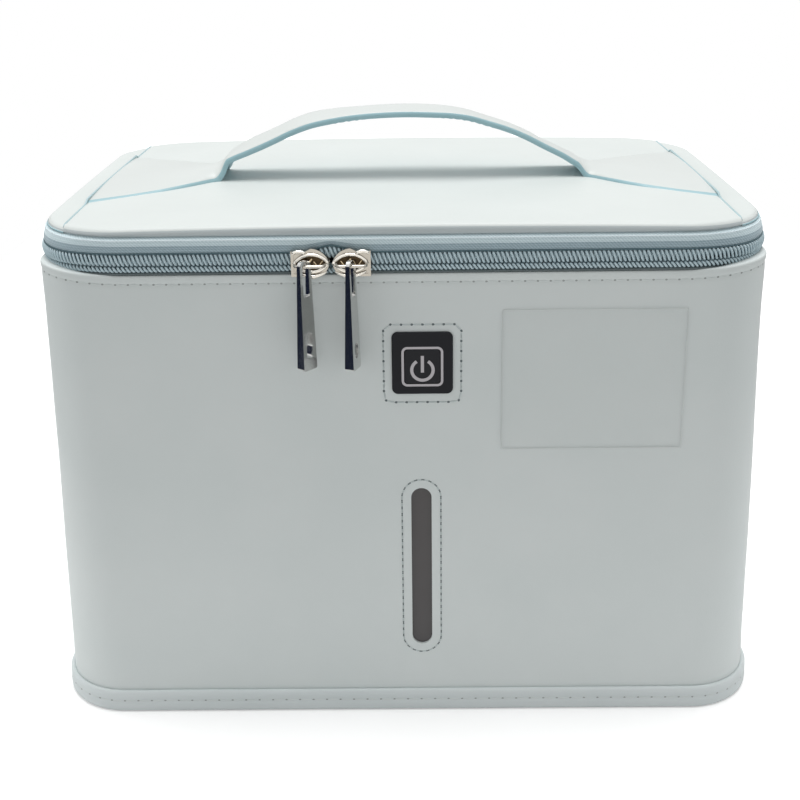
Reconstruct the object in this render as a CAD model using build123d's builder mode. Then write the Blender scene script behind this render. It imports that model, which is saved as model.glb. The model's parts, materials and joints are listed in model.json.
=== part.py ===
from build123d import *
import math
import os

os.makedirs("parts", exist_ok=True)

# A soft-sided, zip-around case with ultraviolet lamps in its lid.
# Millimetres, +Z up, the front is -Y. The origin is the middle of the flat underside.

# Outside of the case
BAG_WIDTH = 300.0  # across the hem under the zip
BAG_DEPTH = 200.0
CORNER_RADIUS = 37.0  # of the lid and the zip, seen from above
WALL_CORNER = 24.8  # of the walls, at the hem
LID_SIDE_INSET = 1.1  # of each end of the lid from the walls' at the hem
BODY_TOP = 199.8  # upper edge of the hem
WALL_TAPER = 1.14  # degrees, the walls lean out downwards

# Wall layers, from the outside in
LEATHER = 1.2
WALL_CORE = 3.0
LINER = 0.6
CORE_DROP = 3.8  # of the core's rim below the hem

# Base
BASE_SKIN = 1.2
BASE_BOARD = 3.0
BAND_HEIGHT = 10.0
BAND_THICKNESS = 2.0
BAND_ROLL = 1.2  # rounding of the band's lower edge

# Zip
TAPE = 0.6
TAPE_WIDTH = 17.5  # of one side's tape, without its coil
COIL_HEIGHT = 3.0
COIL_DEPTH = 2.0
COIL_ROUND = 0.9
COIL_RISE = 1.2  # of the lower coil's underside above the hem
COIL_GAP = 1.2  # between the two rows, where a slider's web runs
UPPER_TAPE_TUCK = 1.5  # of the upper tape behind the lid's leather

# Lid
LID_SEAM_RISE = 7.3  # of the leather's lower edge above the upper coil
LID_RISE = 5.1  # of the dome's top above that edge
CROWN_RADIUS = 6000.0
LID_ROLL = 2.6
SIDE_SEAM_INSET = 14.0  # of each front-to-back seam from the end of the lid
SEAM_GROOVE = 0.5
SEAM_ANGLE = 45.0
LID_LINER_DROP = 3.7  # of the liner's underside below the leather's edge
LID_LINER = 0.6
LID_BOARD = 2.0

# Hinge, a web as thick as the zip's tape
HINGE_MARGIN = 0.5  # from each end of the zip
HINGE_HOLD = 13.0  # how far the web reaches under the body's hem

# Handle: its line is that of the strap's middle layer
HANDLE_WIDTH = 26.0
HANDLE_THICKNESS = 2.6
HANDLE_RISE = 28.7  # of its crown above the lid
ROOT_INSET = 66.0  # of each root from the end of the case, before the shift
HANDLE_SHIFT = 2.0  # of the whole strap to the right
CROWN_SHARE = 0.262  # of the way out to a root
LEFT_KNEE = (0.958, 0.338)  # shares of the way out and of the rise
LEFT_SHOULDER = (0.643, 0.755)
RIGHT_SHOULDER = (0.595, 0.683)
BEND_SHARE = 0.45  # of the shorter neighbouring run that a bend takes
WING_ROOT_LAP = 2.0  # of each wing inwards of its root
WING_WAIST_INSET = 43.0
WING_WIDTH = 104.0  # at the side seam
WING_WAIST_WIDTH = 72.0
WING_ROOT_WIDTH = 28.0
WING_EDGE = 1.2
WING_RISE = 0.6  # of its middle over its edge, at the seam
WING_WAIST_RISE = 2.2
LEFT_ROOT_RISE = 6.5
RIGHT_ROOT_RISE = 2.2
SEAT = 0.15  # a sewn piece lies this far off the lid

# Window slit
WINDOW_X = 6.9
WINDOW_FOOT = 32.0  # height of its lower end
WINDOW_HEAD = 93.5  # its upper end, below the hem
WINDOW_WIDTH = 8.6
PANE_BORDER = 3.8
PANE = 0.8
WINDOW_STEP = 1.0  # each deeper layer's slit is wider by this all round

# Power button and its housing
BUTTON_X = 7.7
BUTTON_DROP = 37.8  # of the plate's middle below the hem
PLATE_WIDTH = 24.9
PLATE_HEIGHT = 26.6
PLATE_PROUD = 0.8
PLATE_CORNER = 2.5
RING_SIZE = 17.0
RING_LINE = 1.0
RING_DROP = 1.4  # the button sits this far below the plate's middle
RING_CORNER = 2.4
RING_PROUD = 0.15
RING_SINK = 0.6
CAP_PROUD = 0.2
CAP_GAP = 0.3
CAP_LIP = 1.0
CAP_LIP_DEPTH = 2.6
CAP_LIP_THICKNESS = 0.8
CAP_STEM = 5.0
CAP_STEM_DEPTH = 3.9
HOUSING_BACK = 6.4

# Control box inside the front wall
BOX_X = 7.7
BOX_DROP = 6.0  # of its middle below the plate's
BOX_WIDTH = 60.0
BOX_HEIGHT = 46.0
BOX_DEPTH = 17.0  # from the liner inwards
BOX_WALL = 2.0
BOX_FLANGE = 4.0
BOX_CORNER = 5.0
FLANGE_THICKNESS = 1.6
FRAME_THICKNESS = 1.0
BOARD = 1.6
BOARD_CLEARANCE = 2.0  # from the box's walls
BOARD_DEPTH = 8.5  # its front face, from the outside of the leather
POST = 5.0
POST_INSET = 4.0  # from the board's edges
PILOT = 2.0
BOARD_HOLE = 2.4
SCREW_SHANK = 1.9
SCREW_HEAD = 3.8
SCREW_HEAD_THICKNESS = 1.3
SCREW_LENGTH = 7.0
RIVET_HEAD = 3.2
RIVET_SHANK = 1.6
RIVET_HEAD_THICKNESS = 0.8
SWITCH = 6.0
SWITCH_THICKNESS = 3.5
PLUNGER = 3.3
PLUNGER_LENGTH = 3.0
PLUNGER_GAP = 0.2
PLUNGER_WELL = 3.0
DRIVER = 10.0
DRIVER_X = 12.0
DRIVER_HEIGHT = 4.0

# Power inlet at the back
INLET_INSET = 65.0  # from the end of the case
INLET_DROP = 50.8  # below the hem
INLET_BEZEL = 15.0
INLET_BEZEL_PROUD = 1.4
INLET_BODY = 10.8
INLET_DEPTH = 10.5
INLET_BORE = 5.6
INLET_BORE_DEPTH = 9.0
INLET_PIN = 2.1
NUT_ACROSS = 14.0
NUT_THICKNESS = 2.4

# Flat leads between the layers
LEAD_WIDTH = 6.0
LEAD = 1.0
LEAD_TAIL_X = 23.9
RISER_OFFSET = 21.0  # from the inlet to where the lead turns up
FLEX = 0.4  # thickness of the bare lead that crosses the hinge

# Lamp in the lid
LAMP_INSET = 50.0  # of each end from the end of the case
LAMP_DEPTH = 64.0
LAMP_HEIGHT = 10.8
LAMP_WALL = 2.0
LAMP_FACE = 1.6
LAMP_CORNER = 8.0
LAMP_RIB = 4.0
LAMP_BOSS = 7.0
LAMP_SCREW_X = 60.0
LAMP_SCREW_SINK = 2.5
LAMP_SCREW_HOLE = 2.2
LAMP_SCREW_HEAD_HOLE = 4.2
LAMP_SCREW_BITE = 1.6  # into the lid's board
LED_BOARD_DEPTH = 44.0
LED_SIZE = 3.5
LED_THICKNESS = 1.4
LED_DOME = 1.3
LED_DOME_TAPER = 30.0
LED_COLUMNS = 6
LED_ROWS = 2
LED_PITCH_X = 30.0
LED_PITCH_Y = 24.0
LENS = 1.6
LENS_DEPTH = 46.0
LENS_LEDGE = 2.0
FIT_GAP = 0.2

# Lid switch in the wall and its magnet in the lid
SENSOR_INSET = 50.0  # from the end of the case
SENSOR_WIDTH = 10.0
SENSOR_HEIGHT = 8.0
SENSOR_BELOW_RIM = 1.0
MAGNET = 8.0
MAGNET_INSET = 10.0

# Clear film on the front
FILM_INSET = 35.3  # of its outer edge from the end of the case
FILM_DROP = 45.8  # of its middle below the hem
FILM_WIDTH = 74.8
FILM_HEIGHT = 60.4
FILM = 0.3

# Sliders and their pulls
SLIDER_LENGTH = 15.2
SLIDER_REAR_HALF = 5.2
SLIDER_WAIST = 6.0
SLIDER_SHOULDER = 8.0
SLIDER_WIDE_HALF = 6.2
SLIDER_CHEEK = 13.0
SLIDER_CHEEK_HALF = 4.0
SLIDER_PLATE = 1.5
SLIDER_BACK = 1.2
SLIDER_GAP = 0.3
SLIDER_RIM = 1.1
SLIDER_RIM_DEPTH = 0.5
SLIDER_WEB_LENGTH = 6.0
SLIDER_WEB_END = 2.0  # from the nose
FLANGE = 0.6
FLANGE_REACH = 1.6
FLANGE_LENGTH = 10.0  # from the rear
BRIDGE = 1.3  # diameter of the bar
BRIDGE_BEND = 1.6
BRIDGE_RISE = 4.2  # of its middle above the plate
BRIDGE_END = 1.2  # from each end of the slider
LEFT_SLIDER_X = -36.4
RIGHT_SLIDER_X = -20.0
LEFT_PULL_SHIFT = -2.2
RIGHT_PULL_SHIFT = -0.3
LEFT_PULL_TWIST = 39.0
RIGHT_PULL_TWIST = 20.0
PULL_LENGTH = 42.5  # from the bridge to the lower end
PULL_TOP_WIDTH = 6.0
PULL_BOTTOM_WIDTH = 7.5
PULL_TOP_THICKNESS = 1.6
PULL_BOTTOM_THICKNESS = 3.9
EYE_WIDTH = 3.5
EYE_LENGTH = 13.0
EYE_PLAY = 0.3
EYE_RAIL = 1.5
SLOT_WIDTH = 3.4
SLOT_HEIGHT = 6.5
SLOT_RISE = 7.9  # of its middle above the lower end
PULL_TOP_ROUND = 2.2
PULL_BOTTOM_ROUND = 0.8
EYE_ROUND = 0.4

# Worked out from the sizes above
LEAN = math.radians(WALL_TAPER)
SQUARE = math.cos(LEAN)  # turns a level depth into one at right angles to a leaning wall
HALF_WIDTH = BAG_WIDTH / 2
HALF_DEPTH = BAG_DEPTH / 2
LID_WIDTH = BAG_WIDTH - 2 * LID_SIDE_INSET
STRAIGHT = LID_WIDTH - 2 * CORNER_RADIUS
SHELL = LEATHER + WALL_CORE
LINED = SHELL + LINER
TAPE_BACK = LEATHER + TAPE
COIL_OUTER = LEATHER - COIL_DEPTH
CORE_TOP = BODY_TOP - CORE_DROP
COIL_BASE = BODY_TOP + COIL_RISE
LOWER_COIL_TOP = COIL_BASE + COIL_HEIGHT
UPPER_COIL_BASE = LOWER_COIL_TOP + COIL_GAP
UPPER_COIL_TOP = UPPER_COIL_BASE + COIL_HEIGHT
ZIP_MIDDLE = LOWER_COIL_TOP + COIL_GAP / 2
TAPE_BASE = LOWER_COIL_TOP - TAPE_WIDTH
LID_SEAM = UPPER_COIL_TOP + LID_SEAM_RISE
LID_TOP = LID_SEAM + LID_RISE
UPPER_TAPE_TOP = LID_SEAM + UPPER_TAPE_TUCK
SIDE_SEAM = HALF_WIDTH - SIDE_SEAM_INSET
LID_LINER_BASE = LID_SEAM - LID_LINER_DROP
LID_BOARD_BASE = LID_LINER_BASE + LID_LINER
LID_CORE_BASE = LID_BOARD_BASE + LID_BOARD
CROWN_CENTRE = LID_TOP - CROWN_RADIUS
BASE_TOP = BASE_SKIN + BASE_BOARD
ROOT_X = HALF_WIDTH - ROOT_INSET
WING_ROOT_X = ROOT_X - WING_ROOT_LAP
WING_WAIST_X = HALF_WIDTH - WING_WAIST_INSET
WINDOW_HEIGHT = BODY_TOP - WINDOW_HEAD - WINDOW_FOOT
WINDOW_Z = WINDOW_FOOT + WINDOW_HEIGHT / 2
BUTTON_Z = BODY_TOP - BUTTON_DROP
BOX_Z = BUTTON_Z - BOX_DROP
INLET_X = HALF_WIDTH - INLET_INSET
INLET_Z = BODY_TOP - INLET_DROP
RISER_X = INLET_X - RISER_OFFSET
LAMP_WIDTH = BAG_WIDTH - 2 * LAMP_INSET
SENSOR_X = SENSOR_INSET - HALF_WIDTH
FILM_X = HALF_WIDTH - FILM_INSET - FILM_WIDTH / 2
FILM_Z = BODY_TOP - FILM_DROP
SENSOR_Z = CORE_TOP - SENSOR_BELOW_RIM - SENSOR_HEIGHT / 2
LEAD_TOP = INLET_Z - INLET_BODY / 2 - FIT_GAP
LEAD_BASE = LEAD_TOP - LEAD_WIDTH
BUTTON_SPOT_Z = BUTTON_Z - RING_DROP
CAP_HOLE = RING_SIZE - 2 * RING_LINE
CAP_SIZE = CAP_HOLE - 2 * CAP_GAP
CAP_LIP_SIZE = CAP_SIZE + 2 * CAP_LIP
FRAME_WIDTH = BOX_WIDTH + 2 * BOX_FLANGE
FRAME_HEIGHT = BOX_HEIGHT + 2 * BOX_FLANGE
RIVET_X = (BOX_WIDTH + BOX_FLANGE) / 2
RIVET_Z = (BOX_HEIGHT + BOX_FLANGE) / 2 - BOX_CORNER
BOARD_WIDTH = BOX_WIDTH - 2 * BOX_WALL - 2 * BOARD_CLEARANCE
BOARD_HEIGHT = BOX_HEIGHT - 2 * BOX_WALL - 2 * BOARD_CLEARANCE
POST_X = BOARD_WIDTH / 2 - POST_INSET
POST_Z = BOARD_HEIGHT / 2 - POST_INSET
COVER_BACK = LINED + BOX_DEPTH
LAMP_BASE = LID_LINER_BASE - LAMP_HEIGHT
LED_BOARD_BASE = LID_LINER_BASE - BOARD
LED_BOARD_WIDTH = LAMP_WIDTH - 2 * LAMP_WALL - 2 * FIT_GAP
RIB_INNER = LAMP_WIDTH / 2 - LAMP_WALL - LAMP_RIB
LAMP_SCREW_Y = LAMP_DEPTH / 2 - LAMP_WALL / 2 - LAMP_BOSS / 2
PLATE_Y = -(HALF_DEPTH - COIL_OUTER + SLIDER_GAP)  # inner face of a slider's front plate
BACK_PLATE_Y = -(HALF_DEPTH - TAPE_BACK - SLIDER_GAP)
BRIDGE_Y = PLATE_Y - SLIDER_PLATE - BRIDGE_RISE
EYE_TOP = BRIDGE / 2 + EYE_PLAY
HINGE_BASE = BODY_TOP - HINGE_HOLD
HINGE_WIDTH = STRAIGHT - 2 * HINGE_MARGIN
FLEX_Y = HALF_DEPTH - SHELL + LEAD / 2
MAGNET_Y = -(HALF_DEPTH - MAGNET_INSET)
LAMP_TAIL_Y = LED_BOARD_DEPTH / 2 - LEAD_WIDTH
LENS_WIDTH = 2 * (RIB_INNER - FIT_GAP)
TALL = 400.0  # longer than anything it cuts


def flare(height):
    """How far the outer face stands out at this height, past its place at the hem."""
    return (BODY_TOP - height) * math.tan(LEAN)


def lid_height(x, y):
    """Height of the lid's domed top over a point."""
    return CROWN_CENTRE + math.sqrt(CROWN_RADIUS**2 - x**2 - y**2)


def front_plane(x, z, depth=0.0):
    """A plane on the leaning front wall, facing out, set in by depth from the leather."""
    outward = Vector(0, -math.cos(LEAN), math.sin(LEAN))
    surface = Vector(x, -(HALF_DEPTH + flare(z)), z)
    return Plane(surface - outward * depth * SQUARE, x_dir=(1, 0, 0), z_dir=outward)


def back_plane(x, z, depth=0.0):
    """A plane on the leaning back wall, facing out, set in by depth from the leather."""
    outward = Vector(0, math.cos(LEAN), math.sin(LEAN))
    surface = Vector(x, HALF_DEPTH + flare(z), z)
    return Plane(surface - outward * depth * SQUARE, x_dir=(-1, 0, 0), z_dir=outward)


def wall_block(bottom, top, inset, mode=Mode.ADD):
    """The case's tapered outline between two heights, inset from the leather's face."""
    grow = flare(bottom) - inset
    with BuildSketch(Plane.XY.offset(bottom)) as outline:
        RectangleRounded(BAG_WIDTH + 2 * grow, BAG_DEPTH + 2 * grow, WALL_CORNER + grow)
    extrude(outline.sketch, amount=top - bottom, taper=WALL_TAPER, mode=mode)


def lid_block(bottom, top, inset, mode=Mode.ADD):
    """The lid's upright outline between two heights, inset from its leather's face."""
    with BuildSketch(Plane.XY.offset(bottom)) as outline:
        RectangleRounded(LID_WIDTH - 2 * inset, BAG_DEPTH - 2 * inset, CORNER_RADIUS - inset)
    extrude(outline.sketch, amount=top - bottom, mode=mode)


def rear_straight_block(mode):
    """All of the straight stretch of the back wall, where no zip runs."""
    with Locations((0, HALF_DEPTH, BODY_TOP)):
        Box(STRAIGHT, 2 * CORNER_RADIUS, TALL, mode=mode)


def pocket(plane, width, height, corner, depth, mode=Mode.SUBTRACT):
    """A rounded rectangle driven into a wall from this plane."""
    with BuildSketch(plane) as outline:
        RectangleRounded(width, height, corner)
    extrude(outline.sketch, amount=-depth * SQUARE, mode=mode)


def window_slit(plane, border, depth, mode=Mode.SUBTRACT):
    """The window's rounded slit, wider by a border all round."""
    with BuildSketch(plane) as outline:
        SlotOverall(WINDOW_HEIGHT + 2 * border, WINDOW_WIDTH + 2 * border, rotation=90)
    extrude(outline.sketch, amount=-depth * SQUARE, mode=mode)


def round_hole(plane, radius, depth, mode=Mode.SUBTRACT):
    """A plain round hole or pin from this plane into the wall."""
    with BuildSketch(plane) as outline:
        Circle(radius)
    extrude(outline.sketch, amount=-depth * SQUARE, mode=mode)


def button_square(depth, size, corner, length, mode):
    """A rounded square about the button's middle, from a depth in the wall inwards."""
    pocket(front_plane(BUTTON_X, BUTTON_SPOT_Z, depth), size, size, corner, length, mode)


def rivet_places():
    """Where the control box is riveted through the wall."""
    return GridLocations(2 * RIVET_X, 2 * RIVET_Z, 2, 2)


def post_places():
    """Where the control board is screwed to its posts."""
    return GridLocations(2 * POST_X, 2 * POST_Z, 2, 2)


def rivet_shanks(depth, length, mode):
    """Four rivet shanks, or their holes, from a depth in the wall inwards."""
    with BuildSketch(front_plane(BOX_X, BOX_Z, depth)) as shanks:
        with rivet_places():
            Circle(RIVET_SHANK / 2)
    extrude(shanks.sketch, amount=-length * SQUARE, mode=mode)


def dome(inset, mode):
    """The ball whose top is the lid's dome, set in by an inset."""
    with Locations((0, 0, CROWN_CENTRE)):
        Sphere(CROWN_RADIUS - inset, mode=mode)


def domed_block(builder, bottom, inset, under):
    """The lid's outline filled up to its dome, or this far under it, with its upper edge rolled."""
    lid_block(bottom, LID_TOP, inset)
    dome(under, Mode.INTERSECT)
    fillet(builder.faces().sort_by(Axis.Z)[-1].edges(), radius=LID_ROLL - inset)


def coil_row(builder, bottom):
    """The rounded envelope of one row of teeth, its lower side at this height."""
    lid_block(bottom, bottom + COIL_HEIGHT, COIL_OUTER)
    levels = builder.edges().group_by(Axis.Z)
    fillet(levels[0] + levels[-1], radius=COIL_ROUND)
    lid_block(bottom, bottom + COIL_HEIGHT, LEATHER, Mode.SUBTRACT)
    rear_straight_block(Mode.SUBTRACT)


def lamp_block(bottom, top, width, depth, corner, mode=Mode.ADD):
    """A rounded block about the lamp's middle, between two heights."""
    with BuildSketch(Plane.XY.offset(bottom)) as outline:
        RectangleRounded(width, depth, corner)
    extrude(outline.sketch, amount=top - bottom, mode=mode)


def lamp_screw_pins(bottom, top, radius, mode=Mode.ADD):
    """Round pins or holes where the lamp is screwed to the lid."""
    with BuildSketch(Plane.XY.offset(bottom)) as outline:
        with GridLocations(2 * LAMP_SCREW_X, 2 * LAMP_SCREW_Y, 2, 2):
            Circle(radius)
    extrude(outline.sketch, amount=top - bottom, mode=mode)


def lead_slot(bottom, top, front, back, mode):
    """A flat lead's width of space over the hinge's line, between two heights and two depths."""
    with Locations((RISER_X, (front + back) / 2, (bottom + top) / 2)):
        Box(LEAD_WIDTH, back - front, top - bottom, mode=mode)


def strap_point(out, up, side=-1):
    """A point of the strap's line, by its share of the way out to a root and of the rise."""
    return (HANDLE_SHIFT + side * out * ROOT_X, LID_TOP + up * HANDLE_RISE)


def bend_radius(before, corner, after):
    """The radius of a bend that takes its share of the shorter of the two runs beside it."""
    arriving, leaving = Vector(corner) - Vector(before), Vector(after) - Vector(corner)
    turn = math.radians(arriving.get_angle(leaving))
    return BEND_SHARE * min(arriving.length, leaving.length) / math.tan(turn / 2)


def wing_section(x, width, rise):
    """Cross-section of a handle's wing: it reaches into the lid, to be trimmed to it."""
    edge = lid_height(x, width / 2) + WING_EDGE
    middle = lid_height(x, 0) + WING_EDGE + rise
    low = edge - 2 * WING_EDGE
    with BuildSketch(Plane((x, 0, 0), x_dir=(0, 1, 0), z_dir=(1, 0, 0))) as section:
        with BuildLine():
            ThreePointArc((-width / 2, edge), (0, middle), (width / 2, edge))
            Polyline((width / 2, edge), (width / 2, low), (-width / 2, low), (-width / 2, edge))
        make_face()
    return section.sketch


def wing(side, root_rise):
    """One wing of the handle, from its root to the side seam."""
    loft(
        [
            wing_section(HANDLE_SHIFT + side * WING_ROOT_X, WING_ROOT_WIDTH, root_rise),
            wing_section(side * WING_WAIST_X, WING_WAIST_WIDTH, WING_WAIST_RISE),
            wing_section(side * SIDE_SEAM, WING_WIDTH, WING_RISE),
        ]
    )


def slider_face(y, x, nose, shrink=0.0):
    """A slider's outline on an upright plane: square at the rear, wider, then down to its nose."""

    def at(along, up):
        return (x + nose * (along - SLIDER_LENGTH / 2), ZIP_MIDDLE + up)

    with BuildSketch(Plane.XZ.offset(-y)) as face:
        with BuildLine():
            Polyline(
                at(SLIDER_SHOULDER, -SLIDER_WIDE_HALF),
                at(SLIDER_WAIST, -SLIDER_REAR_HALF),
                at(0, -SLIDER_REAR_HALF),
                at(0, SLIDER_REAR_HALF),
                at(SLIDER_WAIST, SLIDER_REAR_HALF),
                at(SLIDER_SHOULDER, SLIDER_WIDE_HALF),
            )
            ThreePointArc(
                at(SLIDER_SHOULDER, SLIDER_WIDE_HALF),
                at(SLIDER_CHEEK, SLIDER_CHEEK_HALF),
                at(SLIDER_LENGTH, 0),
            )
            ThreePointArc(
                at(SLIDER_LENGTH, 0),
                at(SLIDER_CHEEK, -SLIDER_CHEEK_HALF),
                at(SLIDER_SHOULDER, -SLIDER_WIDE_HALF),
            )
        make_face()
        if shrink:
            offset(amount=-shrink, kind=Kind.INTERSECTION, mode=Mode.REPLACE)
    return face.sketch


def slider(x, nose):
    """Two plates joined by a web between the rows of teeth, flanges over them, and the bridge."""
    extrude(slider_face(PLATE_Y, x, nose), amount=SLIDER_PLATE)
    extrude(slider_face(BACK_PLATE_Y, x, nose), amount=-SLIDER_BACK)
    web_x = x + nose * (SLIDER_LENGTH / 2 - SLIDER_WEB_END - SLIDER_WEB_LENGTH / 2)
    with Locations((web_x, (PLATE_Y + BACK_PLATE_Y) / 2, ZIP_MIDDLE)):
        Box(SLIDER_WEB_LENGTH, BACK_PLATE_Y - PLATE_Y, COIL_GAP - 2 * SLIDER_GAP)
    flange_x = x + nose * (FLANGE_LENGTH - SLIDER_LENGTH) / 2
    for side in (-1, 1):
        flange_z = ZIP_MIDDLE + side * (COIL_GAP / 2 + COIL_HEIGHT + SLIDER_GAP + FLANGE / 2)
        with Locations((flange_x, PLATE_Y + FLANGE_REACH / 2, flange_z)):
            Box(FLANGE_LENGTH, FLANGE_REACH, FLANGE)
    recess = slider_face(PLATE_Y - SLIDER_PLATE, x, nose, SLIDER_RIM)
    extrude(recess, amount=-SLIDER_RIM_DEPTH, mode=Mode.SUBTRACT)
    leg = SLIDER_LENGTH / 2 - BRIDGE_END - BRIDGE / 2
    floor = PLATE_Y - SLIDER_PLATE + SLIDER_RIM_DEPTH
    with BuildLine(Plane.XY.offset(ZIP_MIDDLE)) as staple:
        FilletPolyline(
            (x - leg, floor + SLIDER_RIM_DEPTH),
            (x - leg, BRIDGE_Y),
            (x + leg, BRIDGE_Y),
            (x + leg, floor + SLIDER_RIM_DEPTH),
            radius=BRIDGE_BEND,
        )
    with BuildSketch(Plane(staple.line @ 0, z_dir=staple.line % 0)) as bar:
        Circle(BRIDGE / 2)
    sweep(bar.sketch, path=staple.line)


def pull(x, twist):
    """A hanging pull that thickens downwards, with an eye round the bridge and a slot below."""
    turn = math.radians(twist)
    across = Vector(math.sin(turn), math.cos(turn), 0)
    facing = Vector(math.cos(turn), -math.sin(turn), 0)
    bridge_point = Vector(x, BRIDGE_Y, ZIP_MIDDLE)
    broad = Plane(bridge_point, x_dir=across, z_dir=facing)
    edge_on = Plane(bridge_point, x_dir=facing, z_dir=-across)
    head = EYE_TOP + EYE_RAIL
    foot = -PULL_LENGTH
    with BuildSketch(broad) as face:
        with BuildLine():
            Polyline(
                (-PULL_TOP_WIDTH / 2, head),
                (PULL_TOP_WIDTH / 2, head),
                (PULL_BOTTOM_WIDTH / 2, foot),
                (-PULL_BOTTOM_WIDTH / 2, foot),
                close=True,
            )
        make_face()
        fillet(face.vertices().group_by(Axis.Y)[-1], radius=PULL_TOP_ROUND)
        fillet(face.vertices().group_by(Axis.Y)[0], radius=PULL_BOTTOM_ROUND)
    extrude(face.sketch, amount=PULL_BOTTOM_THICKNESS, both=True)
    with BuildSketch(edge_on) as wedge:
        with BuildLine():
            Polyline(
                (-PULL_TOP_THICKNESS / 2, head),
                (PULL_TOP_THICKNESS / 2, head),
                (PULL_BOTTOM_THICKNESS / 2, foot),
                (-PULL_BOTTOM_THICKNESS / 2, foot),
                close=True,
            )
        make_face()
    extrude(wedge.sketch, amount=PULL_BOTTOM_WIDTH, both=True, mode=Mode.INTERSECT)
    with BuildSketch(broad) as slots:
        with Locations((0, EYE_TOP - EYE_LENGTH / 2)):
            RectangleRounded(EYE_WIDTH, EYE_LENGTH, EYE_ROUND)
        with Locations((0, foot + SLOT_RISE)):
            SlotOverall(SLOT_HEIGHT, SLOT_WIDTH, rotation=90)
    extrude(slots.sketch, amount=PULL_BOTTOM_THICKNESS, both=True, mode=Mode.SUBTRACT)


def save(builder, name):
    """Label a finished piece and write its STEP file."""
    builder.part.label = name
    export_step(builder.part, f"parts/{name}.step")


# Body leather: the outer wrap, with its window slit, button opening and inlet hole
with BuildPart() as body_leather:
    wall_block(BASE_SKIN, BODY_TOP, 0)
    wall_block(BASE_SKIN, BODY_TOP, LEATHER, Mode.SUBTRACT)
    window_slit(front_plane(WINDOW_X, WINDOW_Z, -LEATHER), 0, 2 * SHELL)
    pocket(front_plane(BUTTON_X, BUTTON_Z, -LEATHER), PLATE_WIDTH, PLATE_HEIGHT, PLATE_CORNER, 2 * SHELL)
    round_hole(back_plane(INLET_X, INLET_Z, -LEATHER), INLET_BODY / 2, 2 * SHELL)
save(body_leather, "body_leather")

# Case lead: a flat lead in a groove of the core, from the inlet to the hinge and the board
with BuildPart() as case_lead:
    wall_block(LEAD_BASE, CORE_TOP, SHELL - LEAD)
    wall_block(LEAD_BASE, CORE_TOP, SHELL, Mode.SUBTRACT)
    with Locations((RISER_X - LEAD_WIDTH / 2, 0, CORE_TOP)):
        Box(TALL, TALL, 2 * TALL, align=(Align.MAX, Align.MIN, Align.CENTER), mode=Mode.SUBTRACT)
    with Locations((LEAD_TAIL_X, 0, CORE_TOP)):
        Box(TALL, TALL, 2 * TALL, align=(Align.MAX, Align.MAX, Align.CENTER), mode=Mode.SUBTRACT)
    with Locations((RISER_X + LEAD_WIDTH / 2, 0, LEAD_TOP)):
        Box(TALL, 2 * TALL, TALL, align=(Align.MIN, Align.CENTER, Align.MIN), mode=Mode.SUBTRACT)
    with Locations((0, 0, LEAD_TOP)):
        Box(TALL, TALL, TALL, align=(Align.CENTER, Align.MAX, Align.MIN), mode=Mode.SUBTRACT)
    tail_spot = front_plane(LEAD_TAIL_X + LEAD / 2, LEAD_BASE + LEAD_WIDTH / 2, SHELL)
    with BuildSketch(tail_spot):
        Rectangle(LEAD, LEAD_WIDTH)
    extrude(amount=-(BOARD_DEPTH - SHELL) * SQUARE)
save(case_lead, "case_lead")

# Body core: the stiff foam board between leather and liner
with BuildPart() as body_core:
    wall_block(BASE_SKIN, TAPE_BASE, LEATHER)
    wall_block(TAPE_BASE, CORE_TOP, TAPE_BACK)
    wall_block(BASE_SKIN, CORE_TOP, SHELL, Mode.SUBTRACT)
    window_slit(front_plane(WINDOW_X, WINDOW_Z, LEATHER), PANE_BORDER, PANE)
    window_slit(front_plane(WINDOW_X, WINDOW_Z, LEATHER), WINDOW_STEP, 2 * SHELL)
    pocket(front_plane(BOX_X, BOX_Z, LEATHER), FRAME_WIDTH, FRAME_HEIGHT, BOX_CORNER, FRAME_THICKNESS)
    pocket(front_plane(BUTTON_X, BUTTON_SPOT_Z, LEATHER), PLATE_WIDTH, PLATE_WIDTH, PLATE_CORNER, 2 * SHELL)
    pocket(front_plane(SENSOR_X, SENSOR_Z, TAPE_BACK), SENSOR_WIDTH, SENSOR_HEIGHT, TAPE, 2 * SHELL)
    rivet_shanks(LEATHER, 2 * SHELL, Mode.SUBTRACT)
    round_hole(back_plane(INLET_X, INLET_Z, -LEATHER), INLET_BODY / 2, 3 * SHELL)
    add(case_lead.part, mode=Mode.SUBTRACT)
save(body_core, "body_core")

# Body liner: the reflective cup that lines walls and floor
with BuildPart() as body_liner:
    wall_block(BASE_TOP, CORE_TOP, SHELL)
    wall_block(BASE_TOP + LINER, CORE_TOP, LINED, Mode.SUBTRACT)
    window_slit(front_plane(WINDOW_X, WINDOW_Z, LEATHER), 2 * WINDOW_STEP, 2 * SHELL)
    pocket(
        front_plane(BOX_X, BOX_Z, LEATHER),
        BOX_WIDTH - 2 * BOX_WALL,
        BOX_HEIGHT - 2 * BOX_WALL,
        BOX_CORNER - BOX_WALL,
        2 * SHELL,
    )
    rivet_shanks(LEATHER, 2 * SHELL, Mode.SUBTRACT)
    round_hole(back_plane(INLET_X, INLET_Z, -LEATHER), INLET_BODY / 2, 3 * SHELL)
save(body_liner, "body_liner")

# Base panel: the leather that the case stands on
with BuildPart() as base_panel:
    wall_block(0, BASE_SKIN, 0)
save(base_panel, "base_panel")

# Base board: stiffens the floor, inside the core
with BuildPart() as base_board:
    wall_block(BASE_SKIN, BASE_TOP, SHELL)
save(base_board, "base_board")

# Base band: the folded strip sewn round the foot
with BuildPart() as base_band:
    wall_block(0, BAND_HEIGHT, -BAND_THICKNESS)
    fillet(base_band.edges().group_by(Axis.Z)[0], radius=BAND_ROLL)
    wall_block(0, BAND_HEIGHT, 0, Mode.SUBTRACT)
save(base_band, "base_band")

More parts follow.
